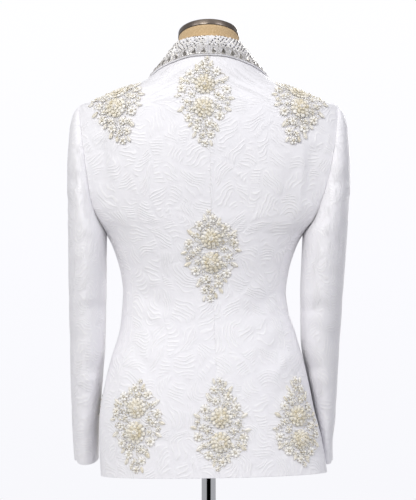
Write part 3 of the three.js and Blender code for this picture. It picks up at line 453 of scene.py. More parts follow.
def woven_jacquard(name):
    """White jacquard: ribs lift and catch the light, the satin of the leaves shines more than the ground."""
    material, tree = new_finish(name)
    mm = cloth_in_mm(tree)
    flat = {"noise_dimensions": "2D"}
    drift = add(tree, "TexNoise", {"Vector": mm, "Scale": 1 / BEND_LENGTH, "Detail": 1.5}, **flat)
    centred = add(tree, "VectorMath", {0: drift.outputs["Color"], 1: (0.5, 0.5, 0.5)}, operation="SUBTRACT")
    wander = (OUTLINE_BEND, OUTLINE_BEND, 0)
    push = add(tree, "VectorMath", {0: centred.outputs[0], 1: wander}, operation="MULTIPLY")
    bent = add(tree, "VectorMath", {0: mm, 1: push.outputs[0]}, operation="ADD").outputs[0]
    per_leaf = (1 / LEAF_WIDE, 1 / LEAF_LONG, 0)
    in_leaves = add(tree, "VectorMath", {0: bent, 1: per_leaf}, operation="MULTIPLY").outputs[0]
    cell = {"Vector": in_leaves, "Scale": 1.0, "Randomness": 0.85}
    leaf = add(tree, "TexVoronoi", cell, voronoi_dimensions="2D", feature="F1")
    border = add(tree, "TexVoronoi", cell, voronoi_dimensions="2D", feature="DISTANCE_TO_EDGE")
    own = add(tree, "SeparateColor", {0: leaf.outputs["Color"]})
    turn = add(tree, "Math", {0: own.outputs["Red"], 1: TURN}, operation="MULTIPLY").outputs[0]
    cosine = add(tree, "Math", {0: turn}, operation="COSINE").outputs[0]
    sine = add(tree, "Math", {0: turn}, operation="SINE").outputs[0]
    beside = add(tree, "CombineXYZ", {"X": cosine, "Y": sine})
    centre = add(tree, "VectorMath", {0: leaf.outputs["Position"], 1: beside.outputs[0]}, operation="ADD")
    away = add(tree, "VectorMath", {0: in_leaves, 1: centre.outputs[0]}, operation="SUBTRACT")
    in_mm = add(tree, "VectorMath", {0: away.outputs[0], 1: (LEAF_WIDE, LEAF_LONG, 0)}, operation="MULTIPLY")
    reach = add(tree, "VectorMath", {0: in_mm.outputs[0]}, operation="LENGTH").outputs["Value"]
    phase = add(tree, "Math", {0: reach, 1: TURN / RIB_PITCH}, operation="MULTIPLY").outputs[0]
    wave = add(tree, "Math", {0: phase}, operation="SINE").outputs[0]
    soft = {"interpolation_type": "SMOOTHSTEP"}
    rib = add(tree, "MapRange", {"Value": wave, "From Min": 0.0, "From Max": 0.95}, **soft)
    within = {"Value": border.outputs["Distance"], "From Min": 0.03, "From Max": 0.2}
    inside = add(tree, "MapRange", within, **soft).outputs[0]
    puffed = add(tree, "Math", {0: rib.outputs[0], 1: inside}, operation="MULTIPLY").outputs[0]
    ribs = add(tree, "Math", {0: puffed, 1: 0.55}, operation="MULTIPLY").outputs[0]
    leaves = add(tree, "Math", {0: inside, 1: 0.35, 2: ribs}, operation="MULTIPLY_ADD").outputs[0]
    warp = add(tree, "TexWave", {"Vector": mm, "Scale": 0.55}, bands_direction="X")
    weft = add(tree, "TexWave", {"Vector": mm, "Scale": 0.5}, bands_direction="Y")
    crossed = {0: warp.outputs["Fac"], 1: weft.outputs["Fac"]}
    threads = add(tree, "Math", crossed, operation="MULTIPLY").outputs[0]
    woven = add(tree, "Math", {0: threads, 1: 0.05, 2: leaves}, operation="MULTIPLY_ADD").outputs[0]
    pucker = add(tree, "TexNoise", {"Vector": mm, "Scale": 1 / PUCKER_LENGTH, "Detail": 2.0}, **flat)
    puckered = {0: pucker.outputs["Fac"], 1: 1.3, 2: woven}
    height = add(tree, "Math", puckered, operation="MULTIPLY_ADD").outputs[0]
    relief = add(tree, "Bump", {"Strength": 1.0, "Distance": RELIEF_DEPTH, "Height": height})
    patches = add(tree, "TexNoise", {"Vector": mm, "Scale": 1 / PATCH_LENGTH, "Detail": 2.0}, **flat)
    mottled = add(tree, "Math", {0: patches.outputs["Fac"], 1: 0.5}, operation="MULTIPLY").outputs[0]
    factor = add(tree, "Math", {0: puffed, 1: 0.4, 2: mottled}, operation="MULTIPLY_ADD").outputs[0]
    colour = tint(tree, factor, [(0.0, "#EEEDF1"), (0.45, "#F3F2F5"), (0.85, "#F9F8F9")])
    rough = add(tree, "MapRange", {"Value": puffed, "To Min": 0.62, "To Max": 0.42}).outputs[0]
    look = {"Base Color": colour, "Roughness": rough, "Normal": relief.outputs[0]}
    shade(tree, look | {"Sheen Weight": 0.12, "Sheen Roughness": 0.5})
    return material


jacquard = woven_jacquard("white_jacquard_woven_with_raised_leaves")
print("jacquard nodes:", len(jacquard.node_tree.nodes))

# %% [markdown]
# A tailored back is two halves sewn at the middle, with a side panel under each arm and a front that ends in
# a curved free edge. Each is a wall two millimetres thick on a fine grid: rows level with the floor, columns
# from one seam to the next. Near a seam the cloth rolls in, which makes the thin valley that shows a seam.
# %% Lines of the cut
WALL, SEAM, ARMHOLE_GAP = 2.0, 0.06, 0.35
SHOULDER_SEAM, SIDE_SEAM_TOP = 88.3, 1252  # degrees round the body, and a height
ARMHOLE_Y, ARMHOLE_BACK, ARMHOLE_FRONT, ARMHOLE_LEAN = 3, 58, 68, 0.15
ARMHOLE_MID, ARMHOLE_HALF = (SHOULDER_TIP_Z + ARMPIT_Z) / 2, (SHOULDER_TIP_Z - ARMPIT_Z) / 2
LOW_ROWS = [783, 787, 793, 803, 825, 860, 905, 950, 995, 1035, 1075, 1115, 1150, 1170, 1188, 1203, 1219]
LOW_ROWS += [1237, 1252]
HIGH_ROWS = [1262, 1274, 1288, 1308, 1335, 1365, 1392, 1410, 1422, 1430, 1434, 1440.5, 1450, 1461, 1473, 1484]
ROW_STEP = 5.5  # no two rows of a panel are further apart


def armhole_reach(z, front):
    """Half the armhole's depth at z: span * sqrt(1 - h^2) * (1 - lean * h), h from -1 at the armpit to 1."""
    h = np.clip((z - ARMHOLE_MID) / ARMHOLE_HALF, -1, 1)
    return np.where(front, ARMHOLE_FRONT, ARMHOLE_BACK) * np.sqrt(1 - h * h) * (1 - ARMHOLE_LEAN * h)


def armhole_angle(z, front):
    """Where the armhole's edge crosses the body's oval at z."""
    reach = armhole_reach(z, front)
    return angle_at_y(ARMHOLE_Y + np.where(front, -reach, reach), z)


def angle_for(gap, angle, z):
    """The angle that spans a gap of this many millimetres."""
    ends = body_point(angle + 0.5, z) - body_point(angle - 0.5, z)
    return gap / np.linalg.norm(ends, axis=-1)


def side_seam(hem, waist, front):
    """A side seam's angle by height, from the hem through the waist to the armhole."""
    return curve([HEM_Z, 1100, SIDE_SEAM_TOP], [hem, waist, float(armhole_angle(SIDE_SEAM_TOP, front))])


centre_back_x = table_curve([[780, -18], [1000, -11.7], [1195, -4.9], [1518, 0]])
side_back, side_front = side_seam(56, 58, False), side_seam(114, 112, True)
FRONT_EDGE = [[780, 84], [785, 60], [792, 44], [803, 30], [825, 14], [860, 2], [920, -9], [1000, -16]]
FRONT_EDGE += [[1060, -18], [1130, -17], [1160, -10], [1215, 2], [1300, 17], [1400, 35], [1460, 48]]
FRONT_EDGE += [[1490, 62], [1500, 70]]
front_edge_x = table_curve(FRONT_EDGE)


def panel_edges(side, z, front):
    """The two angles that a back or front panel lies between at z, each a little inside its seam."""
    if front:
        turned = angle_at_x(side * front_edge_x(z), z, "front")
        inner = turned if side > 0 else 360 - turned
        seam = np.where(z <= SIDE_SEAM_TOP, side_front(z), SHOULDER_SEAM)
        step = 1
    else:
        middle = side * angle_at_x(centre_back_x(z), z, "back")
        inner = middle + angle_for(SEAM / 2, middle, z)
        seam = np.where(z <= SIDE_SEAM_TOP, side_back(z), SHOULDER_SEAM)
        step = -1
    seam_edge = seam + step * angle_for(SEAM / 2, seam, z)
    hole = armhole_angle(z, front)
    hole_edge = hole + step * angle_for(ARMHOLE_GAP, hole, z)
    beside = (z >= SIDE_SEAM_TOP) & (z < SHOULDER_TIP_Z)
    pick = np.maximum if front else np.minimum
    return inner, np.where(beside, pick(seam_edge, hole_edge), seam_edge)


EDGE_STEPS = np.array([0, 0.35, 0.9, 1.8, 3.2])  # where an edge's own points lie, so that it can be rolled


def spread(length, count):
    """Shares of a length: the edge steps at both ends, and count even ones between."""
    length = np.asarray(length, float)[..., None]
    last = EDGE_STEPS[-1]
    middle = last + (length - 2 * last) * np.linspace(0, 1, count + 2)[1:-1]
    ends = np.broadcast_to(EDGE_STEPS, (*length.shape[:-1], len(EDGE_STEPS)))
    return np.concatenate([ends, middle, length - ends[..., ::-1]], -1) / length


def rolled(distance, radius=0.3):
    """How far the face sinks near an edge: radius - sqrt(radius^2 - (radius - d)^2), a quarter round."""
    left = np.clip(radius - distance, 0, radius)
    return radius - np.sqrt(radius**2 - left**2)


def finer_rows(rows):
    """The rows with more between them, so that no gap is over a step, and the edge steps at the lowest."""
    rows = np.array(rows, float)
    counts = np.maximum(2, np.ceil(np.diff(rows) / ROW_STEP).astype(int))
    parts = [np.linspace(a, b, count + 1)[:-1] for a, b, count in zip(rows, rows[1:], counts)]
    made = np.concatenate([*parts, rows[-1:]])
    past_edge = rows[0] + EDGE_STEPS[-1] + 0.3
    return np.unique(np.concatenate([rows[0] + EDGE_STEPS, made[made > past_edge]]))


def cloth_uv(grid, shift):
    """A flat place for each point: along its row from the middle column, and up its own column."""
    across = np.linalg.norm(np.diff(grid, axis=1), axis=-1)
    u = np.concatenate([np.zeros((len(grid), 1)), np.cumsum(across, 1)], 1)
    middle = grid.shape[1] // 2
    up = np.linalg.norm(np.diff(grid, axis=0), axis=-1)
    v = np.concatenate([np.zeros((1, grid.shape[1])), np.cumsum(up, 0)])
    return np.stack([u - u[:, middle : middle + 1] + shift[0], v + shift[1]], -1)


def sheet_area(grid):
    """The area of a grid's quads, in square metres: half the cross product of each quad's diagonals."""
    one = grid[1:, 1:] - grid[:-1, :-1]
    other = grid[1:, :-1] - grid[:-1, 1:]
    return float(np.linalg.norm(np.cross(one, other), axis=-1).sum() / 2e6)


def sew_in(node, outer, inner, shift, material, slot, held="hung"):
    """Makes a cloth piece from its two faces, in place of its node, and works out the flat size of its cut."""
    uv = cloth_uv(outer, shift)
    points, faces = closed_wall(outer, inner)
    blocks = [(points, faces, 0, 0.5, np.concatenate([uv, uv]))]
    piece = make_piece(node + "_cloth", blocks, [material], slot, replaces=[node])
    width, length = np.ptp(uv.reshape(-1, 2), axis=0) / 1000
    width, length = float(width), float(length)
    area = min(sheet_area(outer), width * length)


# %% Back halves, side panels and fronts
NECK_RISE = 4.5  # how far the neckline stands above the form's ring beside the neck
OVERLAP, OVERLAP_FADE_X = 3.2, (28, 75)  # the left front lies over the right one, out to these x
level_rows = finer_rows(LOW_ROWS + HIGH_ROWS)
neck_shares = np.linspace(0, 1, 7)[1:]
row_level = np.concatenate([level_rows, NECK_BAND_Z + neck_shares * (SHOULDER_NECK_Z - NECK_BAND_Z)])


def shoulder_ring_z(turn):
    """The ring where the form's shoulders end: down from nape to shoulder, then level to the front."""
    return NAPE_Z + (SHOULDER_NECK_Z - NAPE_Z) * smoothstep(turn, 0, 90)


def neckline_z(angle):
    """The cloth's neckline: that ring, and a little higher at the sides of the neck, under the collar."""
    turn = np.abs(angle)
    beside = smoothstep(turn, 10, 60) * (1 - smoothstep(turn, 84, 116))
    return shoulder_ring_z(turn) + NECK_RISE * beside


def overlap_lift(p):
    """How far the left front stands over the right one, gone by the chest and away from the middle."""
    return OVERLAP * (1 - smoothstep(p[..., 2], 1215, 1300)) * (1 - smoothstep(p[..., 0], *OVERLAP_FADE_X))


def panel_grid(side, front, count=34):
    """Points of a back or front panel on the body, and each one's distance from the nearest edge."""
    start, end = panel_edges(side, row_level, front)
    ends = body_point(side * start, row_level), body_point(side * end, row_level)

    def between(share):
        return side * (start[:, None] + (end - start)[:, None] * share)

    turns = np.linspace(0, 1, 25)
    trail = body_point(between(turns), row_level[:, None] + 0 * turns)
    length = np.linalg.norm(np.diff(trail, axis=1), axis=-1).sum(1)
    share = spread(length, count)
    angle = between(share)
    rising = np.clip(np.arange(len(row_level)) - len(level_rows) + 1, 0, None)[:, None] / len(neck_shares)
    z = np.where(rising > 0, NECK_BAND_Z + rising * (neckline_z(angle) - NECK_BAND_Z), row_level[:, None])
    near = np.minimum(share, 1 - share) * length[:, None]
    near = np.minimum(near, (row_level - HEM_Z)[:, None])
    print("   ends at the hem", ends[0][0].round(1), ends[1][0].round(1))
    return body_point(angle, z), near


def layers(p, near, extra=0.0):
    """Outer and inner face of a panel: the surface plus extra, and one wall below, rolled at the edges."""
    return lifted(p, extra - rolled(near)), lifted(p, extra - WALL + rolled(near))


SIDE_WIDTH, STRETCH_Z = 150.0, 1170  # about the side panel's width, and where its rows begin to stretch


def side_panel(side, count=26):
    """The underarm panel: its highest rows stretch so that its top follows the armhole."""
    rows = finer_rows(LOW_ROWS)
    back_top, front_top = armhole_angle(SIDE_SEAM_TOP, False), armhole_angle(SIDE_SEAM_TOP, True)
    first = np.degrees(np.arccos((SIDE_SEAM_TOP - ARMHOLE_MID) / ARMHOLE_HALF))
    turn = first + (360 - 2 * first) * np.linspace(0, 1, 200)
    hole_z = ARMHOLE_MID + ARMHOLE_HALF * np.cos(np.radians(turn))
    across = (armhole_angle(hole_z, turn > 180) - back_top) / (front_top - back_top)
    share = spread(SIDE_WIDTH, count)
    top = np.interp(share, across, hole_z) - ARMHOLE_GAP
    rising = np.clip((rows - STRETCH_Z) / (SIDE_SEAM_TOP - STRETCH_Z), 0, 1)[:, None]
    z = np.where(rising > 0, STRETCH_Z + rising * (top - STRETCH_Z), rows[:, None])
    low = side_back(z) + angle_for(SEAM / 2, side_back(z), z)
    high = side_front(z) - angle_for(SEAM / 2, side_front(z), z)
    near = np.minimum(np.minimum(share, 1 - share) * SIDE_WIDTH, (rows - HEM_Z)[:, None])
    return body_point(side * (low + (high - low) * share), z), near


SIDES = [("left", 1), ("right", -1)]
for word, side in SIDES:
    p, near = panel_grid(side, front=False)
    sew_in("back_" + word, *layers(p, near), (side * 120, 0), jacquard, "jacquard")
    p, near = side_panel(side)
    sew_in("side_" + word, *layers(p, near), (side * 330, 60), jacquard, "jacquard")
    p, near = panel_grid(side, front=True)
    extra = overlap_lift(p) if side > 0 else np.zeros(p.shape[:2])
    sew_in("front_" + word, *layers(p, near, extra), (side * 560, 25), jacquard, "jacquard")

# %% [markdown]
# A jacket's sleeve is two pieces: a wide top sleeve outside and a narrow under sleeve inside, joined along
# the elbow and the forearm. The section at each height is an oval that runs from the armhole's back edge round
# the outside to its front edge, and closes below the armpit. The cloth breaks at the elbow and under the
# shoulder, where the arm of the form would push it.
# %% Sleeves
CUFF_Z, CUFF_DROP = 805, 8
SLEEVE_LENGTH, MM_PER_DEGREE = 625, 0.9
VENT_SHARES, VENT_CLOSED, VENT_OPENS = (0.85, 0.98), 0.1, 2.7  # where the vent opens, and its gap in mm
NOTCH_ANGLE, NOTCH_DEGREES, NOTCH_HEIGHT = 40, 9, 7  # the notch of the cuff line at the vent
TOP_LIPS_IN, UNDER_LIPS_OUT, LIP_WIDTH = 2.6, 0.5, 8  # how the vent's two edges part in depth
# Each table is rows of height and x or y: the sleeve's outside, its inside and its middle from front to back.
SHOULDER_OUTSIDE = [[1283, 250.5], [1326, 250], [1368, 247.5], [1396, 245], [1407, 242.5]]
SHOULDER_OUTSIDE += [[1418, 239], [1428, 232], [1434, 224.5]]
LEFT_OUTSIDE = [[797, 240], [850, 243], [900, 245], [1000, 246.5], [1100, 248], [1198, 248.5]]
LEFT_INSIDE = [[797, 197], [860, 196], [920, 191], [1000, 184], [1100, 181], [1203, 180]]
LEFT_MIDDLE = [[797, -53], [900, -37], [1000, -21], [1100, -8], [1160, 0], [1203, 3]]
RIGHT_OUTSIDE = [[797, 223], [830, 222], [880, 227], [965, 230.6], [1028, 234], [1100, 238], [1198, 244.5]]
RIGHT_OUTSIDE += [[1241, 247.5]]
RIGHT_INSIDE = [[797, 197], [830, 194], [880, 187], [960, 172], [1028, 163], [1100, 162], [1160, 164]]
RIGHT_INSIDE += [[1203, 166]]
RIGHT_MIDDLE = [[797, -67], [880, -53.5], [960, -37], [1028, -22], [1100, -8], [1160, 0], [1203, 3]]
sleeve_depth = table_curve([[797, 61], [900, 66], [1000, 71], [1203, 76]])
ARMS = {
    word: {
        "side": side,
        "outer": table_curve(outside + SHOULDER_OUTSIDE),
        "inner": table_curve(inside),
        "middle": table_curve(middle),
    }
    for word, side, outside, inside, middle in (
        ("left", 1, LEFT_OUTSIDE, LEFT_INSIDE, LEFT_MIDDLE),
        ("right", -1, RIGHT_OUTSIDE, RIGHT_INSIDE, RIGHT_MIDDLE),
    )
}
SLEEVE_FOLDS = np.array(
    [  # angle, z, how z shifts per degree, width in degrees, height, depth, left arm 1 right -1 both 0
        [60, 1300, 0, 38, 15, 3.5, 0],
        [25, 1262, 0, 30, 14, 2.5, 0],
        [-70, 1290, 0, 36, 16, 3, 0],
        [118, 1074, 0, 44, 13, 3.5, 0],
        [128, 969, 0, 46, 14, 3.2, 0],
        [-110, 1040, 0, 40, 16, 3, 0],
        [40, 1020, 0, 34, 18, 2, 0],
        [48, 1316, 0.35, 34, 6, -1.2, 0],
        [40, 1282, 0.4, 30, 5, 1.4, 0],
        [84, 1256, 0.3, 30, 7, 1.6, 1],
        [74, 1244, 0.35, 28, 6, 1.5, -1],
        [10, 1236, -0.3, 30, 8, 1.0, 0],
        [96, 1196, 0.25, 36, 9, 1.2, 0],
        [60, 1150, -0.2, 40, 10, 0.9, 1],
        [70, 1132, -0.2, 40, 10, 1.0, -1],
        [100, 1092, 0.15, 34, 6, -1.3, 0],
        [104, 1052, -0.15, 34, 7, 1.4, 1],
        [112, 1040, 0.2, 34, 7, 1.3, -1],
        [84, 1008, 0.3, 30, 8, -0.9, 0],
        [112, 950, 0.12, 36, 6, -1.2, 0],
        [76, 930, -0.25, 30, 9, 1.0, 0],
        [100, 900, 0.2, 34, 9, 0.9, 1],
        [92, 884, 0.2, 34, 9, 0.9, -1],
        [-92, 1066, 0.2, 34, 7, 1.4, 0],
        [-96, 1016, -0.2, 34, 7, 1.3, 0],
        [-60, 980, 0.25, 30, 9, 0.9, 0],
        [-100, 1250, 0.3, 30, 7, 1.2, 0],
        [-30, 1190, 0.2, 30, 12, 0.8, 0],
        [0, 1090, 0.25, 34, 12, 0.7, 0],
        [12, 900, 0.2, 34, 14, 0.7, 0],
        [-70, 880, -0.2, 34, 11, 0.9, 0],
    ]
)


def sleeve_point(arm, angle, z):
    """The sleeve's oval at z, 0 degrees outside and 90 behind, open to the armhole above the armpit."""
    turn, ahead = np.abs(angle), np.where(angle < 0, -1, 1)
    outer, side = arm["outer"](z), arm["side"]
    half_low = (outer - arm["inner"](z)) / 2
    x_low = outer - half_low + half_low * np.cos(np.radians(turn))
    y_low = arm["middle"](z) + ahead * sleeve_depth(z) * np.sin(np.radians(turn))
    front = ahead < 0
    reach = armhole_reach(z, front)
    edge = side * body_point(side * armhole_angle(z, front), z)[..., 0]
    fallen = np.clip((SHOULDER_TIP_Z - z) / (SHOULDER_TIP_Z - ARMPIT_Z), 0, None) ** 1.6
    deep = np.maximum(np.hypot(1.02 * reach, sleeve_depth(ARMPIT_Z) * fallen), 1e-6)
    ratio = np.clip(reach / deep, 0, 1)
    half = (outer - edge) / (1 + np.sqrt(1 - ratio**2))
    end = 180 - np.degrees(np.arcsin(ratio))
    whole = np.degrees(np.arccos(np.clip((z - ARMHOLE_MID) / ARMHOLE_HALF, -1, 1)))
    gamma = np.where(whole > 1e-6, np.radians(turn * end / np.maximum(whole, 1e-6)), 0)
    x_high = outer - half + half * np.cos(gamma)
    y_high = ARMHOLE_Y + ahead * deep * np.sin(gamma)
    low = z < ARMPIT_Z
    return np.stack([side * np.where(low, x_low, x_high), np.where(low, y_low, y_high), z + 0 * x_low], -1)


def sleeve_fold(angle, z, side):
    """Sum over the creases of depth * exp(-(turn/width)^2 - (rise/height)^2), each with its own slant."""
    depth = np.zeros(angle.shape)
    for at, height, shift, wide, tall, deep, only in SLEEVE_FOLDS:
        if only and only != side:
            continue
        turn = (angle - at + 180) % 360 - 180
        depth += deep * np.exp(-((turn / wide) ** 2) - ((z - height - shift * turn) / tall) ** 2)
    return depth


def sleeve_piece(arm, under):
    """Both faces of a top or under sleeve, from the elbow seam with its open vent to the forearm seam."""
    rows = np.concatenate([np.linspace(0, 1, 118) ** 1.25, 1 - EDGE_STEPS / SLEEVE_LENGTH])
    share = np.unique(rows)[:, None]
    vent = smoothstep(share, *VENT_SHARES)
    opened = VENT_CLOSED + VENT_OPENS * vent
    elbow, forearm = 65 - 25 * share, -120 - 15 * share
    both = 2 * MM_PER_DEGREE
    if under:
        first, last, count = elbow + opened / both, forearm + 360 - SEAM / both, 30
    else:
        first, last, count = forearm + SEAM / both, elbow - opened / both, 38
    across = spread((last - first)[:, 0] * MM_PER_DEGREE, count)
    angle = first + (last - first) * across
    near = np.minimum(across, 1 - across) * (last - first) * MM_PER_DEGREE
    near = np.minimum(near, (1 - share) * SLEEVE_LENGTH)

    def place(a, s):
        a = (a + 180) % 360 - 180
        top = ARMHOLE_MID + ARMHOLE_HALF * np.cos(np.radians(a))
        notch = NOTCH_HEIGHT * np.exp(-(((a - NOTCH_ANGLE) / NOTCH_DEGREES) ** 2))
        cuff = CUFF_Z - CUFF_DROP * np.sin(np.radians(a)) + notch
        return sleeve_point(arm, a, top + (cuff - top) * np.clip(s, 0, 1))

    s = share + 0 * angle
    low, high = np.maximum(s - 0.004, 0), np.minimum(s + 0.004, 1)
    round_it = place(angle + 0.5, s) - place(angle - 0.5, s)
    down = place(angle, high) - place(angle, low)
    out = unit(np.cross(down, round_it)) * arm["side"]
    p = place(angle, s)
    out[0] = outward(p[0])
    wrapped = (angle + 180) % 360 - 180
    crease = sleeve_fold(wrapped, p[..., 2], arm["side"]) * smoothstep(s, 0, 0.06)
    from_vent = (across if under else 1 - across) * (last - first) * MM_PER_DEGREE
    lip = -UNDER_LIPS_OUT if under else TOP_LIPS_IN
    crease = crease + vent * lip * np.exp(-((from_vent / LIP_WIDTH) ** 2))
    outer = p - out * (crease + rolled(near))[..., None]
    inner = p - out * (crease + WALL - rolled(near))[..., None]
    return outer[::-1], inner[::-1]


for word, side in SIDES:
    for kind, shift in (("top", 900), ("under", 1200)):
        faces = sleeve_piece(ARMS[word], kind == "under")
        sew_in(kind + "_sleeve_" + word, *faces, (side * shift, 40), jacquard, "jacquard")

# %% [markdown]
# The shawl collar is a strip on each side that climbs from the neck seam, turns over a soft roll and falls to
# its outer edge. Lower down it becomes the lapel, which turns out of the front edge and lies on the chest.
# A profile is carried along the roll: a straight stand, a half circle for the turn, and a fall with a slight
# belly that is pushed out wherever it would sink into the cloth below.
# %% Collar and lapels
COLLAR_WALL, COLLAR_LIE, ROLL_RADIUS, LAPEL_TUCK = 2.2, 1.7, 2.9, 9
FALL_LIE = COLLAR_WALL / 2 + 0.3  # the fall's middle surface above the cloth
NECK = np.array(
    [  # x, y, z of the roll, of the outer edge and of the neck seam, from the centre back round the neck
        [[0, 80, 1549], [0, 82, 1517], [0, 73, 1521]],
        [[23, 76.5, 1547.5], [33, 75.5, 1516], [25, 70, 1520]],
        [[43, 62, 1544], [64, 57, 1508.5], [47, 57, 1516.5]],
        [[56, 38, 1539.5], [88, 29, 1498.5], [64, 34, 1511]],
        [[60.5, 12, 1533.5], [101, 3, 1489.5], [71, 10, 1506]],
        [[60.5, -14, 1524], [112, -22, 1476], [71, -14, 1503]],
        [[57, -35, 1507], [119, -45, 1457], [64, -32, 1498]],
    ]
)
NECK_ON_CHEST = [0, 0, 0, 0, 0, 0.2, 0.5]
# x and z of the roll, x and z of the outer edge, down the lapel; y is the chest's own
LAPEL_TOP = [[51, 1480, 122, 1430], [44, 1440, 128, 1392], [36, 1390, 130, 1345], [27, 1335, 125, 1298]]
LEFT_LAPEL = [[15, 1275, 108, 1250], [3, 1217, 76, 1204], [-8, 1170, 36, 1165], [-14, 1138, 2, 1138]]
RIGHT_LAPEL = [[17, 1275, 108, 1250], [11, 1217, 76, 1204], [19, 1170, 44, 1165], [25, 1142, 36, 1142]]
LAPELS = {"left": LAPEL_TOP + LEFT_LAPEL, "right": LAPEL_TOP + RIGHT_LAPEL}
STATION_STEPS = 10


def collar_rows(side, lapel):
    """The roll, outer edge and neck seam at each given row, and how far each row lies on the chest."""
    mirror = np.array([side, 1, 1])
    lapel = np.array(lapel, float)

    def on_front(x, z):
        return onto_body(body_point(angle_at_x(side * x, z, "front"), z))

    roll, edge = on_front(lapel[:, 0], lapel[:, 1]), on_front(lapel[:, 2], lapel[:, 3])
    wide = np.linalg.norm(edge - roll, axis=-1, keepdims=True)
    tuck = roll + unit(edge - roll) * np.minimum(LAPEL_TUCK, wide / 2)
    chest = np.array(NECK_ON_CHEST + [1] * len(lapel))
    neck = (NECK * mirror).transpose(1, 0, 2)
    return [*(np.concatenate(pair) for pair in zip(neck, (roll, edge, tuck))), chest]


def clear_of_cloth(p, lift, extra):
    """Points moved out along the body's normal until each is at least lift above the cloth."""
    base = onto_body(p)
    out = outward(base)
    need = lift + extra(base)
    low = ((p - base) * out).sum(-1) < need
    return np.where(low[..., None], base + out * need[..., None], p)


def no_lift(p):
    """The right side has no lift."""
    return np.zeros(p.shape[:-1])


def collar_grid(side, lapel, extra):
    """The middle surface of a collar half: stations along the roll, points from the seam over to the edge."""
    roll, edge, seam, chest = collar_rows(side, lapel)
    at = np.arange(len(roll))
    fine = np.linspace(0, at[-1], at[-1] * STATION_STEPS + 1)
    roll, edge, seam = (np.stack([curve(at, row)(fine) for row in rows.T], -1) for rows in (roll, edge, seam))
    chest = curve(at, chest)(fine)[:, None]
    half = STATION_STEPS // 2
    index = np.arange(len(fine))
    ahead, behind = np.clip(index + half, 0, len(fine) - 1), np.clip(index - half, 0, len(fine) - 1)
    along = unit(roll[ahead] - roll[behind]) * side
    lie = COLLAR_LIE + COLLAR_WALL / 2
    surface = outward(onto_body(roll))
    out = unit(unit(surface * [1, 1, 0]) * (1 - chest) + surface * chest)
    out = unit(out - along * (out * along).sum(-1, keepdims=True))
    up = np.cross(along, out)
    apex = roll + surface * chest * (lie + ROLL_RADIUS + extra(roll)[:, None])
    centre = apex - up * ROLL_RADIUS
    low = np.where(chest > 0, clear_of_cloth(seam, lie, extra), seam)
    stand_share = np.array([0, 0.012, 0.03, 0.06, 0.12, 0.25, 0.4, 0.55, 0.7, 0.85])[:, None]
    stand = low[:, None] + (centre - out * ROLL_RADIUS - low)[:, None] * stand_share
    bend = np.radians(np.linspace(180, 0, 13))[:, None]
    turn = centre[:, None] + ROLL_RADIUS * (np.cos(bend) * out[:, None] + np.sin(bend) * up[:, None])
    edge = onto_body(edge)
    rest = FALL_LIE + extra(edge) - fold_depth(edge)
    edge = edge + outward(edge) * rest[:, None]
    first = centre + out * ROLL_RADIUS
    share = spread(np.linalg.norm(edge - first, axis=-1), 20)[:, len(EDGE_STEPS) :, None]
    belly = curve([0, 0.33, 0.67, 1], [0, 1.2, 0.8, 0])(share)
    fall = first[:, None] * (1 - share) + edge[:, None] * share + out[:, None] * belly
    fall = clear_of_cloth(fall, FALL_LIE, lambda p: extra(p) - fold_depth(p))
    return np.concatenate([stand, turn, fall], axis=1)


def grid_normals(grid, side):
    """Each point's normal: the step to the next row crossed with the step to the next column."""
    down, across = np.gradient(grid, axis=0), np.gradient(grid, axis=1)
    return unit(np.cross(down, across)) * side


def satin_ground(name):
    """Plain white satin under the collar's stones, with a soft shine and a fine weave."""
    material, tree = new_finish(name)
    mm = cloth_in_mm(tree)
    twill = add(tree, "TexWave", {"Vector": mm, "Scale": 0.6, "Distortion": 0.3}, bands_direction="DIAGONAL")
    cloudy = add(tree, "TexNoise", {"Vector": mm, "Scale": 0.08, "Detail": 3.0})
    relief = add(tree, "Bump", {"Strength": 0.6, "Distance": 0.0001, "Height": twill.outputs["Fac"]})
    colour = tint(tree, cloudy.outputs["Fac"], [(0.25, "#E9E8EC"), (0.75, "#F6F5F8")])
    shade(tree, {"Base Color": colour, "Roughness": 0.45, "Normal": relief.outputs[0], "Sheen Weight": 0.1})
    return material


satin = satin_ground("white_satin_ground_of_the_collar")
collars = {}
for word, side in SIDES:
    grid = collar_grid(side, LAPELS[word], overlap_lift if side > 0 else no_lift)
    normals = grid_normals(grid, side)
    run = np.linalg.norm(np.diff(grid, axis=1), axis=-1)
    from_seam = np.concatenate([np.zeros((len(grid), 1)), np.cumsum(run, 1)], 1)
    near = np.minimum(from_seam, from_seam[:, -1:] - from_seam)
    thick = (COLLAR_WALL / 2 - rolled(near, 0.95))[..., None]
    outer, inner = grid + normals * thick, grid - normals * thick
    outer[0, :, 0] = inner[0, :, 0] = side * SEAM / 2
    collars[word] = (grid, normals)
    sew_in("collar_" + word, outer, inner, (0, 0), satin, "beaded_collar", held="folded")
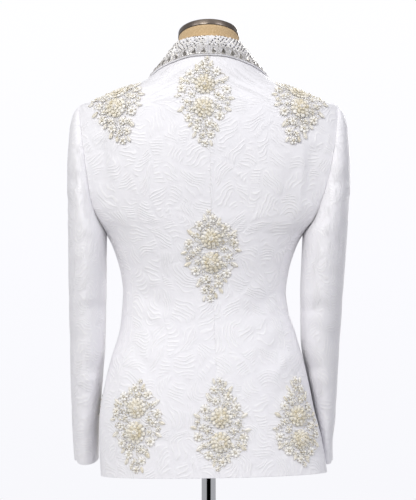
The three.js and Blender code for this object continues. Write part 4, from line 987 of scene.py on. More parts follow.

# %% [markdown]
# The collar is covered with stones. Below the roll they are round and set close together: milky ones, and by
# turns smaller dark ones, which are painted shade for the dark gaps between the stones. Then short rows of
# tiny beads hang between drops of cut glass, and a plain edge of cloth is left below. One small shape of each
# kind is worked out once, and its copies are turned, sized and placed by whole arrays. Stones differ at random
# in how much light they give back, so each has its own tone.
# %% Small shapes and their copies


def bead_shape(around, rings):
    """A ball of radius 1: rings of points at even angles from pole to pole."""
    polar = np.pi * np.arange(1, rings) / rings
    turn = 2 * np.pi * np.arange(around) / around
    ring = np.stack(
        [
            np.sin(polar)[:, None] * np.cos(turn),
            np.sin(polar)[:, None] * np.sin(turn),
            np.cos(polar)[:, None] + 0 * turn,
        ],
        -1,
    )
    points = np.concatenate([[[0, 0, 1]], ring.reshape(-1, 3), [[0, 0, -1]]])
    k = np.arange(around)
    last = 1 + (rings - 2) * around
    top = np.stack([0 * k, 1 + k, 1 + (k + 1) % around], -1)
    bottom = np.stack([0 * k + len(points) - 1, last + (k + 1) % around, last + k], -1)
    return points, facing_out(points, [top, grid_quads(rings - 1, around, 1, wrap=True)[:, ::-1], bottom])


def outline_shape(outline, levels, shares):
    """A cut stone or a petal: one outline drawn in by each share at each level, flat faces at both ends."""
    count, rings = len(outline), len(levels)
    points = np.concatenate([np.c_[outline * share, np.full(count, z)] for z, share in zip(levels, shares)])
    ends = [np.arange(count)[None, ::-1], np.arange((rings - 1) * count, rings * count)[None]]
    return points, facing_out(points, [grid_quads(rings, count, wrap=True), *ends])


def drop_outline(count):
    """A drop: x = 0.62 * sin(t) * |sin(t/2)|^1.3, y = cos(t), wide below and pointed above."""
    turn = 2 * np.pi * np.arange(count) / count
    return np.stack([np.sin(turn) * np.abs(np.sin(turn / 2)) ** 1.3 * 0.62, np.cos(turn)], -1)


def copies(shape, places, frames, sizes):
    """Copies of a shape: each point times its size, turned by the rows of its frame, moved to its place."""
    points, faces = shape
    sized = points[None] * np.asarray(sizes, float).reshape(len(places), -1, 1).transpose(0, 2, 1)
    made = np.einsum("nvk,nkc->nvc", sized, frames) + places[:, None]
    shift = (np.arange(len(places)) * len(points))[:, None, None]
    return made.reshape(-1, 3), [(group[None] + shift).reshape(-1, group.shape[1]) for group in faces]


circle = 2 * np.pi * np.arange(6) / 6
round_outline = np.stack([np.cos(circle), np.sin(circle)], -1)
ROUND_STONE = outline_shape(round_outline, [0.75, 0.25, -0.3], [0.55, 1, 0.85])
DROP_STONE = outline_shape(drop_outline(14), [0.6, 0.42, 0.1, -0.2], [0.45, 0.8, 1, 0.95])
SEED_BEAD = bead_shape(6, 3)
CRYSTAL = bead_shape(4, 2)
PEARL = bead_shape(8, 6)


ROLL_TOP, FALL_PLACES = 14, 60  # the grid's column at the roll's top, and even places from it to the edge


def collar_places(grid, normals, along, from_edge):
    """Places, frames and widths on the collar, by distance along it and distance in from its outer edge."""
    fall, out = grid[:, ROLL_TOP:], normals[:, ROLL_TOP:]
    run = np.linalg.norm(np.diff(fall, axis=1), axis=-1)
    length = np.concatenate([np.zeros((len(fall), 1)), np.cumsum(run, 1)], 1)
    even = np.linspace(0, 1, FALL_PLACES)
    column = np.array([np.interp(even * row[-1], row, np.arange(len(row))) for row in length])
    low = np.clip(column.astype(int), 0, fall.shape[1] - 2)
    part = (column - low)[..., None]
    row = np.arange(len(fall))[:, None]
    fall = fall[row, low] * (1 - part) + fall[row, low + 1] * part
    out = out[row, low] * (1 - part) + out[row, low + 1] * part
    middle = fall[:, FALL_PLACES // 2]
    travelled = np.concatenate([[0], np.cumsum(np.linalg.norm(np.diff(middle, axis=0), axis=-1))])
    s = np.interp(along, travelled, np.arange(len(fall)))
    width = np.interp(s, np.arange(len(fall)), length[:, -1])
    t = (1 - from_edge / width) * (FALL_PLACES - 1)
    i, j = np.clip(s.astype(int), 0, len(fall) - 2), np.clip(t.astype(int), 0, FALL_PLACES - 2)
    a, b = (s - i)[:, None], (t - j)[:, None]

    def read(field):
        upper = field[i, j] * (1 - a) * (1 - b) + field[i + 1, j] * a * (1 - b)
        return upper + field[i, j + 1] * (1 - a) * b + field[i + 1, j + 1] * a * b

    n = unit(read(out))
    down = unit(fall[i, j + 1] - fall[i, j])
    up = -unit(down - n * (down * n).sum(-1, keepdims=True))
    frames = np.stack([np.cross(up, n), up, n], 1)
    fits = (t > -0.5) & (s > 0) & (s < len(fall) - 1.02)
    return read(fall) + n * COLLAR_WALL / 2, frames, width, fits, travelled[-1]


# %% Finishes of the stones


def own_tone(tree):
    """The tone that each bead's points carry."""
    return add(tree, "Attribute", attribute_name="tone", attribute_type="GEOMETRY").outputs["Fac"]


def cut_glass(name):
    """Foil-backed cut stones: nearly a mirror, from dark to silver white by each stone's tone."""
    material, tree = new_finish(name)
    tone = own_tone(tree)
    colour = tint(tree, tone, [(0.0, "#3F3C39"), (0.25, "#86817A"), (0.55, "#D9D5CE"), (1.0, "#FEFCF8")])
    place = add(tree, "TexCoord").outputs["Object"]
    speck = add(tree, "TexNoise", {"Vector": place, "Scale": 900.0, "Detail": 1.0})
    rough = add(tree, "MapRange", {"Value": speck.outputs["Fac"], "To Min": 0.08, "To Max": 0.3}).outputs[0]
    look = {"Base Color": colour, "Metallic": 0.75, "Roughness": rough}
    shade(tree, look | {"Coat Weight": 0.6, "Coat Roughness": 0.05})
    return material


def glazed_bead(name, stops, metal):
    """Small glass beads with a lustre: tone picks the colour, a clear coat gives the round highlight."""
    material, tree = new_finish(name)
    tone = own_tone(tree)
    place = add(tree, "TexCoord").outputs["Object"]
    speck = add(tree, "TexNoise", {"Vector": place, "Scale": 1400.0, "Detail": 1.0})
    cloudy = speck.outputs["Fac"]
    uneven = add(tree, "MapRange", {"Value": cloudy, "To Min": -0.08, "To Max": 0.08}).outputs[0]
    mixed = add(tree, "Math", {0: tone, 1: uneven}, operation="ADD").outputs[0]
    rough = add(tree, "MapRange", {"Value": cloudy, "To Min": 0.18, "To Max": 0.34}).outputs[0]
    look = {"Base Color": tint(tree, mixed, stops), "Metallic": metal, "Roughness": rough}
    shade(tree, look | {"Coat Weight": 0.7, "Coat Roughness": 0.08})
    return material


SILVER_STOPS = [(0.0, "#807C77"), (0.4, "#C6C2BC"), (1.0, "#FBF9F5")]
MILKY_STOPS = [(0.0, "#CFCAC2"), (0.5, "#F1EEE9"), (1.0, "#FFFEFC")]
stone_glass = cut_glass("cut_glass_stones_with_foil_backs")
silver_beads = glazed_bead("silver_lined_glass_beads", SILVER_STOPS, 0.45)
milky_stones = glazed_bead("milky_white_cut_stones", MILKY_STOPS, 0.0)
for name, (_, faces) in (("round stone", ROUND_STONE), ("cut drop", DROP_STONE), ("seed bead", SEED_BEAD)):
    print(name, "triangles:", sum(len(group) * (group.shape[1] - 2) for group in faces))

# %% Stones of the collar
GLASS, SILVER, MILKY = range(3)
FIRST_STONE, STONE_PITCH, STONE_ROW, LOWEST_STONES, HIGHEST_STONES = 1.2, 3.5, 3.4, 20.0, 128
DROP_PITCH, DROP_UP, DROP_SIZE, NARROWEST = 16.0, 10.0, (8.6, 5.4, 3.2), 24
EDGE_BEADS_UP, EDGE_BEADS_PITCH, EDGE_BEAD, ROW_BEAD, BEAD_PITCH = 4.9, 2.1, 1.05, 0.85, 1.75
BEAD_ROWS = np.array(
    [  # place along the collar from the drop's middle, where the row starts and ends above the edge
        [-8.0, 5.4, 21.0],
        [-5.6, 6.2, 19.5],
        [5.6, 6.2, 19.5],
        [0.0, 16.0, 21.5],
        [-2.6, 15.2, 20.0],
        [2.6, 15.2, 20.0],
    ]
)


def round_stones(collar, whole, chance):
    """Milky stones and, by turns, smaller dark ones of painted shade for the gaps, on an even lattice, each
    moved a little, with some left out.
    """
    along = np.arange(FIRST_STONE, whole, STONE_PITCH)
    above = np.arange(LOWEST_STONES, HIGHEST_STONES, STONE_ROW)
    a, e = np.meshgrid(along, above)
    by_turns = np.indices(a.shape).sum(0).ravel() % 2 == 0
    a, e = a.ravel() + chance.normal(0, 0.6, a.size), e.ravel() + chance.normal(0, 0.5, e.size)
    keep = chance.random(a.size) < 0.9
    place, frame, _, fits, _ = collar_places(*collar, a, e)
    use = fits & keep & (a > 0.9)
    # painted shade: small dark stones set by turns between the milky ones stand for the dark gaps between
    # stones
    dark_gap_shade = by_turns & (chance.random(a.size) < 0.85)
    for chosen, kind, small, large, darkest, lightest in (
        (use & dark_gap_shade, GLASS, 1.0, 1.5, 0.0, 0.25),
        (use & ~dark_gap_shade, MILKY, 1.4, 2.0, 0.4, 1.0),
    ):
        radius = chance.uniform(small, large, chosen.sum())
        sizes = np.stack([radius, radius, radius * 0.9], -1)
        tone = np.repeat(chance.uniform(darkest, lightest, chosen.sum()), len(ROUND_STONE[0]))
        yield *copies(ROUND_STONE, place[chosen], frame[chosen], sizes), kind, tone, None


def cut_drops(collar, drop, chance):
    """A row of cut drops, each leaning a little, with painted shade that darkens each toward its pointed end.
    """
    place, frame, width, fits, _ = collar_places(*collar, drop, np.full(drop.size, DROP_UP))
    fits &= width > NARROWEST
    lean = chance.normal(0.0, 0.12, drop.size)[:, None]
    turned = frame.copy()
    turned[:, 0], turned[:, 1] = frame[:, 0] + frame[:, 1] * lean, frame[:, 1] - frame[:, 0] * lean
    count = int(fits.sum())
    outline = DROP_STONE[0]
    # painted shade: each drop's tone falls by 0.14 times its height in the outline, so its pointed end is
    # darker
    tone = np.repeat(chance.uniform(0.3, 0.45, count), len(outline)) - 0.14 * np.tile(outline[:, 1], count)
    return *copies(DROP_STONE, place[fits], turned[fits], np.tile(DROP_SIZE, (count, 1))), GLASS, tone, None


def bead_rows(collar, drop, whole, chance):
    """Short rows of beads above and beside each drop, and one long row along the plain edge."""
    offset, start, end = BEAD_ROWS.T[:, None, :, None]
    steps = np.arange(0, DROP_PITCH, BEAD_PITCH)
    shape = (drop.size, len(BEAD_ROWS), steps.size)
    a = (drop[:, None, None] + offset + 0 * steps).ravel()
    e = np.broadcast_to(start + steps, shape).ravel()
    limit = np.broadcast_to(end, shape).ravel()
    edge = np.arange(FIRST_STONE, whole - 1, EDGE_BEADS_PITCH)
    along_edge = np.concatenate([np.zeros(a.size, bool), np.ones(edge.size, bool)])
    a, e = np.concatenate([a, edge]), np.concatenate([e, np.full(edge.size, EDGE_BEADS_UP)])
    limit = np.concatenate([limit, np.full(edge.size, np.inf)])
    a = a + chance.normal(0, 0.12, a.size)
    place, frame, width, fits, _ = collar_places(*collar, a, e)
    use = fits & (e < limit) & (a > 0.9) & (a < whole - 1) & (e < width)
    radius = np.where(along_edge, EDGE_BEAD, ROW_BEAD)[use]
    tone = np.repeat(np.clip(chance.normal(0.72, 0.22, use.sum()), 0, 1), len(SEED_BEAD[0]))
    place, frame, sizes = place[use] + frame[use][:, 2] * 0.35, frame[use], np.stack([radius] * 3, -1)
    return *copies(SEED_BEAD, place, frame, sizes), SILVER, tone, None


for word, side in SIDES:
    collar = collars[word]
    chance = np.random.default_rng(11 if side > 0 else 12)
    *_, whole = collar_places(*collar, np.array([1.0]), np.array([5.0]))
    drop = np.arange(DROP_PITCH / 2, whole - 6, DROP_PITCH)
    blocks = [*round_stones(collar, whole, chance), cut_drops(collar, drop, chance)]
    blocks.append(bead_rows(collar, drop, whole, chance))
    finishes = [stone_glass, silver_beads, milky_stones]
    make_piece("collar_" + word + "_stones", blocks, finishes, "beaded_collar", smooth=False)

# %% [markdown]
# Beaded flowers are made apart on net and sewn to the cloth: three across the shoulders, one at the small of
# the back, three at the back hem and one on each front hip. Each has two padded rosettes, a spray of small
# flowers round them, pointed leaves, and strings of seed beads between. A motif is drawn flat, as it would
# be on an embroidery frame, and then laid on the cloth: a lattice is walked out over the body from the
# motif's middle, and every point of the flat drawing takes its place on that lattice. It bends over the
# shoulder as lace does.
# %% A flat drawing laid on the cloth
MOTIFS = [  # name, x, z, side, which way is up, long end up 1 or down -1, height above the body
    ["shoulder_left", 161, 1440, "back", (0, -0.9, 1), -1, 2.35],
    ["shoulder_right", -159, 1440, "back", (0, -0.9, 1), -1, 2.35],
    ["nape", 7.5, 1445, "back", (0, 0, 1), -1, 0.9],
    ["mid_back", -4.5, 1176, "back", (0, 0, 1), -1, 0.9],
    ["hem_left", 126, 882, "back", (0, 0, 1), -1, 0.9],
    ["hem_centre", -21, 866, "back", (0, 0, 1), 1, 0.9],
    ["hem_right", -158, 867, "back", (0, 0, 1), 1, 1.4],
    ["hip_left", 176, 886, "front", (0, 0, 1), -1, 0.9],
    ["hip_right", -128, 886, "front", (0, 0, 1), -1, 0.9],
]
SPOKE, RING, RINGS = 5, 4, 27  # degrees, millimetres, and how many rings


def walked_out(x, z, side, up):
    """Places on the body on a round lattice: spokes and rings from the middle, a step along the body each."""
    centre = body_point(angle_at_x(x, z, side), np.array(float(z)))
    out = outward(centre)
    rise = unit(np.array(up, float) - out * (out @ np.array(up, float)))
    turn = np.radians(np.arange(0, 361, SPOKE))[:, None]
    heading = np.cross(rise, out) * np.sin(turn) + rise * np.cos(turn)
    p = np.broadcast_to(centre, heading.shape)
    rings = [p]
    for _ in range(RINGS):
        p = onto_body(p + heading * RING, turns=3)
        n = outward(p)
        heading = unit(heading - n * (heading * n).sum(-1, keepdims=True))
        rings.append(p)
    return np.stack(rings)


def laid_on(lattice, flat, lie):
    """Points (right, up, height) of the flat drawing: between the four nearest places, then lifted."""
    ring = np.clip(np.hypot(flat[:, 0], flat[:, 1]) / RING, 0, RINGS - 0.001)
    spoke = np.degrees(np.arctan2(flat[:, 0], flat[:, 1])) % 360 / SPOKE
    i, j = ring.astype(int), np.clip(spoke.astype(int), 0, 360 // SPOKE - 1)
    a, b = (ring - i)[:, None], (spoke - j)[:, None]
    near = lattice[i, j] * (1 - b) + lattice[i, j + 1] * b
    far = lattice[i + 1, j] * (1 - b) + lattice[i + 1, j + 1] * b
    return lifted(near * (1 - a) + far * a, flat[:, 2] + lie)


# %% Petals, leaves and how they are set out
turn = 2 * np.pi * np.arange(10) / 10
sine, up = np.sin(turn), -0.5 * np.cos(turn)
# A petal is an oval that is wider toward its tip, and a leaf is pointed at both ends.
petal_outline = np.stack([0.5 * sine * (1 - 0.28 * np.cos(turn)), up], -1)
leaf_outline = np.stack([0.5 * np.sign(sine) * np.abs(sine) ** 1.5, up], -1)
PETAL = outline_shape(petal_outline, [0, 0.6, 0.95], [1, 0.92, 0.5])
LEAF = outline_shape(leaf_outline, [0, 0.5, 0.9], [1, 0.86, 0.4])


def set_out(shape, places, angles, sizes, tilt=0.0):
    """Copies of a shape on the flat drawing, each pointing at its angle, its far end tipped up by tilt."""
    places, angles = np.asarray(places, float).reshape(-1, 3), np.asarray(angles, float)
    sine, cosine, none = np.sin(angles), np.cos(angles), 0 * angles
    side = np.stack([cosine, -sine, none], -1)
    tip = np.stack([sine * np.cos(tilt), cosine * np.cos(tilt), none + np.sin(tilt)], -1)
    frames = np.stack([side, tip, np.cross(side, tip)], 1)
    return copies(shape, places, frames, np.broadcast_to(sizes, (len(places), 3)))


def strung(path, spacing, radius, height):
    """Seed beads along a flat path, a spacing apart."""
    path = np.asarray(path, float)
    run = np.concatenate([[0], np.cumsum(np.linalg.norm(np.diff(path, axis=0), axis=-1))])
    at = np.arange(spacing / 2, run[-1], spacing)
    x, y = np.interp(at, run, path[:, 0]), np.interp(at, run, path[:, 1])
    return np.c_[x, y, 0 * x + height], np.full(len(at), radius)


def ring_of(count, radius, centre, start=0.0):
    """Angles and places evenly round a centre."""
    angle = start + 2 * np.pi * np.arange(count) / count
    x, y = centre[0] + radius * np.sin(angle), centre[1] + radius * np.cos(angle)
    return angle, x, y


# %% The flat drawing of a motif
ROSETTES = [(0.5, 21, 17.5), (-1, -21, 18.5)]  # right, up, half width
ROSETTE_PETALS = [  # count, shares of the half width for ring, length and width, then height, tilt, tone
    (12, 0.72, 0.62, 0.4, 0.4, 0.12, 0.5),
    (9, 0.46, 0.52, 0.36, 2.0, 0.32, 0.32),
    (6, 0.24, 0.4, 0.3, 3.2, 0.55, 0.3),
]
ROSETTE_BEADS = [(40, 1.0, 1.5, 0.9), (30, 0.7, 3.9, 0.85), (18, 0.42, 5.3, 0.8)]  # count, ring, height, size
FLOWERS = [  # right, up along the long end, half width
    [-25, 40, 8.5], [21, 44, 8], [-3, 56, 7.5], [-40, 14, 8], [39, 12, 8], [-30, -12, 6.5], [31, -4, 6.5],
    [-27, -40, 8], [27, -36, 8.5], [9, -50, 7], [-13, -58, 8], [12, -69, 7], [1, -84, 6.5], [5, 67, 4.5],
    [-22, 2, 6], [23, 1, 6], [-30, 27, 5.5], [30, 27, 5.5], [-23, -25, 5.5], [24, -20, 5], [-12, -45, 5.5],
    [19, -53, 5], [-2, -70, 5.5], [11, 54, 5], [-13, 46, 5.5], [-41, 26, 4.5], [41, -14, 4.5], [4, 44, 5],
]
LEAVES = [  # right, up, angle in degrees, length, width
    [-39, 31, -50, 15, 7], [36, 31, 52, 16, 7.5], [-13, 52, -28, 13, 6], [11, 58, 24, 13, 6],
    [-47, 0, -100, 12, 6], [47, -4, 105, 12, 6], [-41, -25, -125, 15, 7], [41, -24, 120, 15, 7],
    [-17, -70, -150, 13, 6], [22, -58, 150, 14, 6.5], [-24, -52, -140, 12, 5.5], [12, -84, 165, 12, 5.5],
    [-8, -79, -165, 12, 5.5], [-20, 27, -35, 12, 6], [22, 25, 40, 12, 6],
]
STEMS = [  # each stem's beads run through these flat points
    [[0, 38], [-4, 47], [-3, 56], [4, 64], [5, 72]],
    [[-16, 28], [-22, 36], [-33, 38], [-42, 30]],
    [[16, 28], [20, 38], [31, 41], [40, 33]],
    [[-18, 12], [-28, 17], [-40, 14], [-47, 4]],
    [[18, 12], [28, 16], [39, 12], [47, 2]],
    [[-18, -10], [-29, -11], [-40, -4]],
    [[18, -10], [28, -6], [38, -3]],
    [[-15, -32], [-24, -36], [-34, -34], [-43, -24]],
    [[15, -32], [24, -34], [35, -33], [44, -24]],
    [[-2, -40], [-6, -50], [-12, -60], [-18, -70]],
    [[3, -40], [9, -50], [16, -58], [22, -64]],
    [[1, -44], [2, -58], [10, -70], [2, -84], [4, -92]],
]


STONES_AND_BEADS, CUT_STONES, GLINTS, DARK_GLINTS = 330, 50, 420, 0.3  # how many, and the share of dark ones


def scattered(chance, count, nearest, reach, limits):
    """Random places in an uneven lozenge, even in area, kept where |x|/wide + |y|/long is below 0.98."""
    angle = chance.uniform(0, 2 * np.pi, count)
    share = np.sqrt(chance.uniform(nearest, 1.0, count))
    wide, above, below = reach
    x = share * wide * np.sin(angle)
    y = share * np.where(np.cos(angle) > 0, above, below) * np.cos(angle)
    wide, above, below = limits
    inside = np.abs(x) / wide + np.abs(y) / np.where(y > 0, above, below) < 0.98
    return x, y, angle, inside


def motif_blocks(seed, long_end):
    """All of a motif in flat millimetres: padded petals, leaves, seed beads, pearls and cut stones."""
    chance = np.random.default_rng(seed)
    mirror = 1 if seed % 2 else -1
    petals, beads, pearls, stones = [], [], [], []

    def put(store, shape, places, angles, sizes, tone, tilt=0.0):
        made, faces = set_out(shape, places, angles, sizes, tilt)
        tones = np.clip(tone + chance.normal(0, 0.12, len(np.atleast_1d(angles))), 0, 1)
        store.append((made, faces, np.repeat(tones, len(shape[0]))))

    def string(places, radius, tone=0.5):
        if len(places):
            sizes = np.stack([radius * chance.uniform(0.9, 1.12, len(radius))] * 3, -1)
            put(beads, SEED_BEAD, places, chance.uniform(0, 6, len(places)), sizes, tone)

    for x, y, wide in ROSETTES:
        for count, ring, length, width, height, tilt, tone in ROSETTE_PETALS:
            angle, px, py = ring_of(count, wide * ring, (x, y), chance.uniform(0, 1))
            swing = angle + chance.normal(0, 0.07, count)
            size = (wide * width, wide * length, 2.1)
            put(petals, PETAL, np.c_[px, py, 0 * px + height], swing, size, tone, tilt)
        for count, ring, height, radius in ROSETTE_BEADS:
            _, px, py = ring_of(count, wide * ring, (x, y))
            string(np.c_[px, py, 0 * px + height], np.full(count, radius), 0.45)
        angle, px, py = ring_of(6, 2.7, (x, y))
        on_top = np.c_[[*px, x], [*py, y], [5.5] * 6 + [6.1]]
        put(pearls, PEARL, on_top, [*angle, 0], (1.45, 1.45, 1.45), 0.75)
    for x, y, wide in FLOWERS:
        count = 5 if wide < 7 else 6
        angle, px, py = ring_of(count, wide * 0.55, (x, y), chance.uniform(0, 1))
        put(petals, PETAL, np.c_[px, py, 0 * px + 0.1], angle, (wide * 0.62, wide * 0.95, 1.7), 0.72, 0.16)
        _, px, py = ring_of(count, wide * 0.98, (x, y), angle[0] + np.pi / count)
        string(np.c_[px, py, 0 * px + 0.7], np.full(count, 0.85), 0.35)
        _, px, py = ring_of(7, wide * 0.26, (x, y))
        string(np.c_[px, py, 0 * px + 2.0], np.full(7, 0.75), 0.3)
        put(pearls, SEED_BEAD, [[x, y, 2.4]], [0.0], (1.5, 1.5, 1.3), 0.4)
    for x, y, degrees, length, width in LEAVES:
        angle = np.radians(degrees)
        put(petals, LEAF, [[x, y, 0.1]], [angle], (width, length, 1.5), 0.58, 0.05)
        way = np.array([np.sin(angle), np.cos(angle)])
        spine = np.array([x, y]) + way * np.linspace(-0.42, 0.42, 5)[:, None] * length
        string(*strung(spine, 1.75, 0.72, 1.7), 0.4)
        cross = np.array([way[1], -way[0]])
        t = np.linspace(-0.5, 0.5, 9)[:, None]
        for hand in (1, -1):
            edge = np.array([x, y]) + way * t * length + cross * hand * (0.5 - 2 * t * t) * width * 1.05
            string(*strung(edge, 2.1, 0.66, 0.75), 0.62)
    for path in STEMS:
        path = np.array(path, float)
        at = np.linspace(0, len(path) - 1, 24)
        smooth_path = np.stack([curve(np.arange(len(path)), column)(at) for column in path.T], -1)
        string(*strung(smooth_path, 1.95, 0.82, 0.75), 0.5)
    px, py, angle, inside = scattered(chance, STONES_AND_BEADS, 0.1, (44, 62, 84), (48, 68, 92))
    filling = np.c_[px, py, 0 * px + 0.8][inside]
    put(stones, ROUND_STONE, filling[:CUT_STONES], angle[inside][:CUT_STONES], (1.2, 1.2, 1.1), 0.6)
    string(filling[CUT_STONES:], np.full(len(filling) - CUT_STONES, 0.95), 0.72)
    px, py, angle, inside = scattered(chance, GLINTS, 0.02, (47, 66, 90), (50, 72, 95))
    glint = np.c_[px, py, chance.uniform(1.2, 2.8, GLINTS)][inside]
    count = len(glint)
    sizes = np.stack([chance.uniform(1.0, 1.5, count)] * 3, -1)
    made, faces = set_out(CRYSTAL, glint, angle[inside], sizes, 0.5)
    is_dark = chance.random(count) < DARK_GLINTS
    dark, light = chance.uniform(0, 0.3, count), chance.uniform(0.7, 1, count)
    beads.append((made, faces, np.repeat(np.where(is_dark, dark, light), len(CRYSTAL[0]))))
    blocks = []
    for kind, store in enumerate((petals, beads, pearls, stones)):
        for made, faces, tone in store:
            flat = made * [mirror, -long_end, 1]
            turned = faces if -long_end * mirror > 0 else [group[:, ::-1] for group in faces]
            blocks.append((flat, turned, kind, tone))
    return blocks


# %% Finishes of the motifs
PETAL_STOPS = [(0.0, "#D6C9A8"), (0.35, "#EEE7D6"), (0.65, "#F9F6F0"), (1.0, "#FEFDFB")]
CHAMPAGNE_STOPS = [(0.0, "#B3A78B"), (0.3, "#E3DAC2"), (0.6, "#F8F5EC"), (1.0, "#FFFEFB")]
PEARL_STOPS = [(0.0, "#E0D7C2"), (0.6, "#F3EEE4"), (1.0, "#FCFAF6")]


def thread_padded(name):
    """Padded petals worked over in ivory silk thread: fine ribs of thread, a soft sheen, and painted shade in
    warm patches for hollows.
    """
    material, tree = new_finish(name)
    tone = own_tone(tree)
    place = add(tree, "TexCoord").outputs["Object"]
    # painted shade: this noise, named shadow, moves the petals' tone up and down in patches that stand for
    # shade in their hollows; it also sets their roughness
    shadow = add(tree, "TexNoise", {"Vector": place, "Scale": 350.0, "Detail": 2.0})
    cloudy = shadow.outputs["Fac"]
    uneven = add(tree, "MapRange", {"Value": cloudy, "To Min": -0.25, "To Max": 0.25}).outputs[0]
    mixed = add(tree, "Math", {0: tone, 1: uneven}, operation="ADD").outputs[0]
    wave = {"Vector": place, "Scale": 420.0, "Distortion": 1.5}
    threads = add(tree, "TexWave", wave, bands_direction="DIAGONAL")
    relief = add(tree, "Bump", {"Strength": 0.5, "Distance": 0.0002, "Height": threads.outputs["Fac"]})
    rough = add(tree, "MapRange", {"Value": cloudy, "To Min": 0.38, "To Max": 0.6}).outputs[0]
    look = {"Base Color": tint(tree, mixed, PETAL_STOPS), "Roughness": rough}
    shade(tree, look | {"Normal": relief.outputs[0], "Sheen Weight": 0.2})
    return material


motif_finishes = [
    thread_padded("padded_silk_petals_of_the_motifs"),
    glazed_bead("champagne_glass_seed_beads", CHAMPAGNE_STOPS, 0.25),
    glazed_bead("ivory_pearls", PEARL_STOPS, 0.0),
    stone_glass,
]

# %% Motifs on the cloth
FIRST_SEED, SUNK = 21, 0.6  # the drawing's own zero lies this far below the motif's height
for seed, (name, x, z, side, up, long_end, lie) in enumerate(MOTIFS, FIRST_SEED):
    lattice = walked_out(x, z, side, up)
    blocks = [
        (laid_on(lattice, flat, lie - SUNK), faces, kind, tone, None)
        for flat, faces, kind, tone in motif_blocks(seed, long_end)
    ]
    node = "motif_" + name
    make_piece(node + "_beadwork", blocks, motif_finishes, "beaded_lace", replaces=[node])

# %% [markdown]
# One button closes the front. It is a domed mould covered in the jacket's own cloth, gathered in behind it,
# and it goes through a worked buttonhole: close stitches of silk over a cord, with a bar at each end.
# %% Button and buttonhole
BUTTON_Z, BUTTON_SIDES, COVER_SHIFT = 1118, 40, [560, 330]
HOLE_START, HOLE_END, HOLE_STITCHES, HOLE_HALF = 11, 33, 36, 0.85
STITCH, BAR = [0.36, 1.0, 0.4], [0.6, 2.0, 0.6]  # half sizes: along the hole, across it and out


def turned_piece(profile, count):
    """A surface turned round its axis from (radius, height) rows, as rings of points."""
    profile = np.array(profile, float)
    angle = 2 * np.pi * np.arange(count) / count
    x, y = profile[:, :1] * np.cos(angle), profile[:, :1] * np.sin(angle)
    return np.stack([x, y, profile[:, 1:] + 0 * x], -1)


def closed_rings(rings):
    """Faces of a tube through rings of points, shut with a flat face at each end."""
    count = rings.shape[1]
    last = (len(rings) - 1) * count
    ends = [np.arange(count)[None], np.arange(last, last + count)[None, ::-1]]
    return facing_out(rings, [grid_quads(len(rings), count, wrap=True)[:, ::-1], *ends])


def frame_on_cloth(out):
    """Right, up and out at places on the body, as the rows of a frame."""
    up = unit(np.array([0, 0, 1.0]) - out * out[..., 2:])
    return np.stack([np.cross(up, out), up, out], -2)


base = body_point(angle_at_x(0, BUTTON_Z, "front"), np.array(float(BUTTON_Z)))
seat = base + outward(base) * (OVERLAP - fold_depth(base) + 0.8)
quarter = np.pi / 2 * np.linspace(0, 1, 9)[1:-1]
dome = np.c_[9.2 * np.cos(quarter) + 0.6, 1.6 + 2.4 * np.sin(quarter)]
button_profile = [[0.4, 0.0], [7.5, 0.0], [9.3, 0.5], [9.95, 1.2], [9.9, 1.7], *dome, [0.3, 4.0]]
disc = turned_piece(button_profile, BUTTON_SIDES)
set_in = seat + disc.reshape(-1, 3) @ frame_on_cloth(outward(base))
blocks = [(set_in, closed_rings(disc), 0, 0.5, disc[..., :2] + COVER_SHIFT)]
chance = np.random.default_rng(5)
along = np.linspace(HOLE_START, HOLE_END, HOLE_STITCHES)
stitch_x = np.concatenate([along, along, [HOLE_START - 0.6, HOLE_END + 0.6]])
stitch_up = np.concatenate([0 * along + HOLE_HALF, 0 * along - HOLE_HALF, [0, 0]])
stitch_up += chance.normal(0, 0.05, len(stitch_up))
stitch_sizes = np.array([STITCH] * (2 * HOLE_STITCHES) + [BAR] * 2)
places = body_point(angle_at_x(stitch_x, BUTTON_Z + 0 * stitch_x, "front"), BUTTON_Z + stitch_up)
on_cloth = lifted(places, OVERLAP * (1 - smoothstep(stitch_x, *OVERLAP_FADE_X)) + 0.15)
points, faces = copies(SEED_BEAD, on_cloth, frame_on_cloth(outward(places)), stitch_sizes)
blocks.append((points, faces, 1, 0.5, None))


def silk_stitches(name):
    """Twisted white silk thread: a soft shine, and a slight change of tone from stitch to stitch."""
    material, tree = new_finish(name)
    place = add(tree, "TexCoord").outputs["Object"]
    twist = add(tree, "TexWave", {"Vector": place, "Scale": 900.0}, bands_direction="DIAGONAL")
    colour = tint(tree, twist.outputs["Fac"], [(0, "#DFDDE6"), (1, "#F5F3F8")])
    relief = add(tree, "Bump", {"Strength": 0.4, "Distance": 0.0001, "Height": twist.outputs["Fac"]})
    shade(tree, {"Base Color": colour, "Roughness": 0.4, "Normal": relief.outputs[0], "Sheen Weight": 0.2})
    return material


buttonhole_silk = silk_stitches("white_silk_buttonhole_stitches")
make_piece("front_button", blocks, [jacquard, buttonhole_silk], "jacquard", replaces=["button_front"])

# %% [markdown]
# The jacket is shown on a tailor's form: a padded torso under a tight linen cover, with an oval neck that
# leans forward and a dark metal cap on it. Its shoulders carry the jacket, and lower down it stands clear of
# the cloth. The linen is a plain weave: its finish is two fine waves of thread crossed, with a little slub.
# %% Linen torso
FORM_BOTTOM, BORE_RADIUS, BORE_TOP = 850, 12.8, 909.7
CLEAR, CLEAR_SHOULDER, BEND_SOFT = 8, 1.1, 6  # between cloth and form, and how softly the arm's side is cut
FORM_SIDES, FORM_ROW, NECK_DIP, NECK_IN = 120, 17.0, 14, 5
NECK_HALF_WIDTH, NECK_HALF_DEPTH, NECK_Y, NECK_TOP, NECK_TILT = 53, 60, 8, 1550, np.radians(20)
shoulder_limit = table_curve([[1200, 168], [1330, 184], [1400, 200], [1440, 215]])


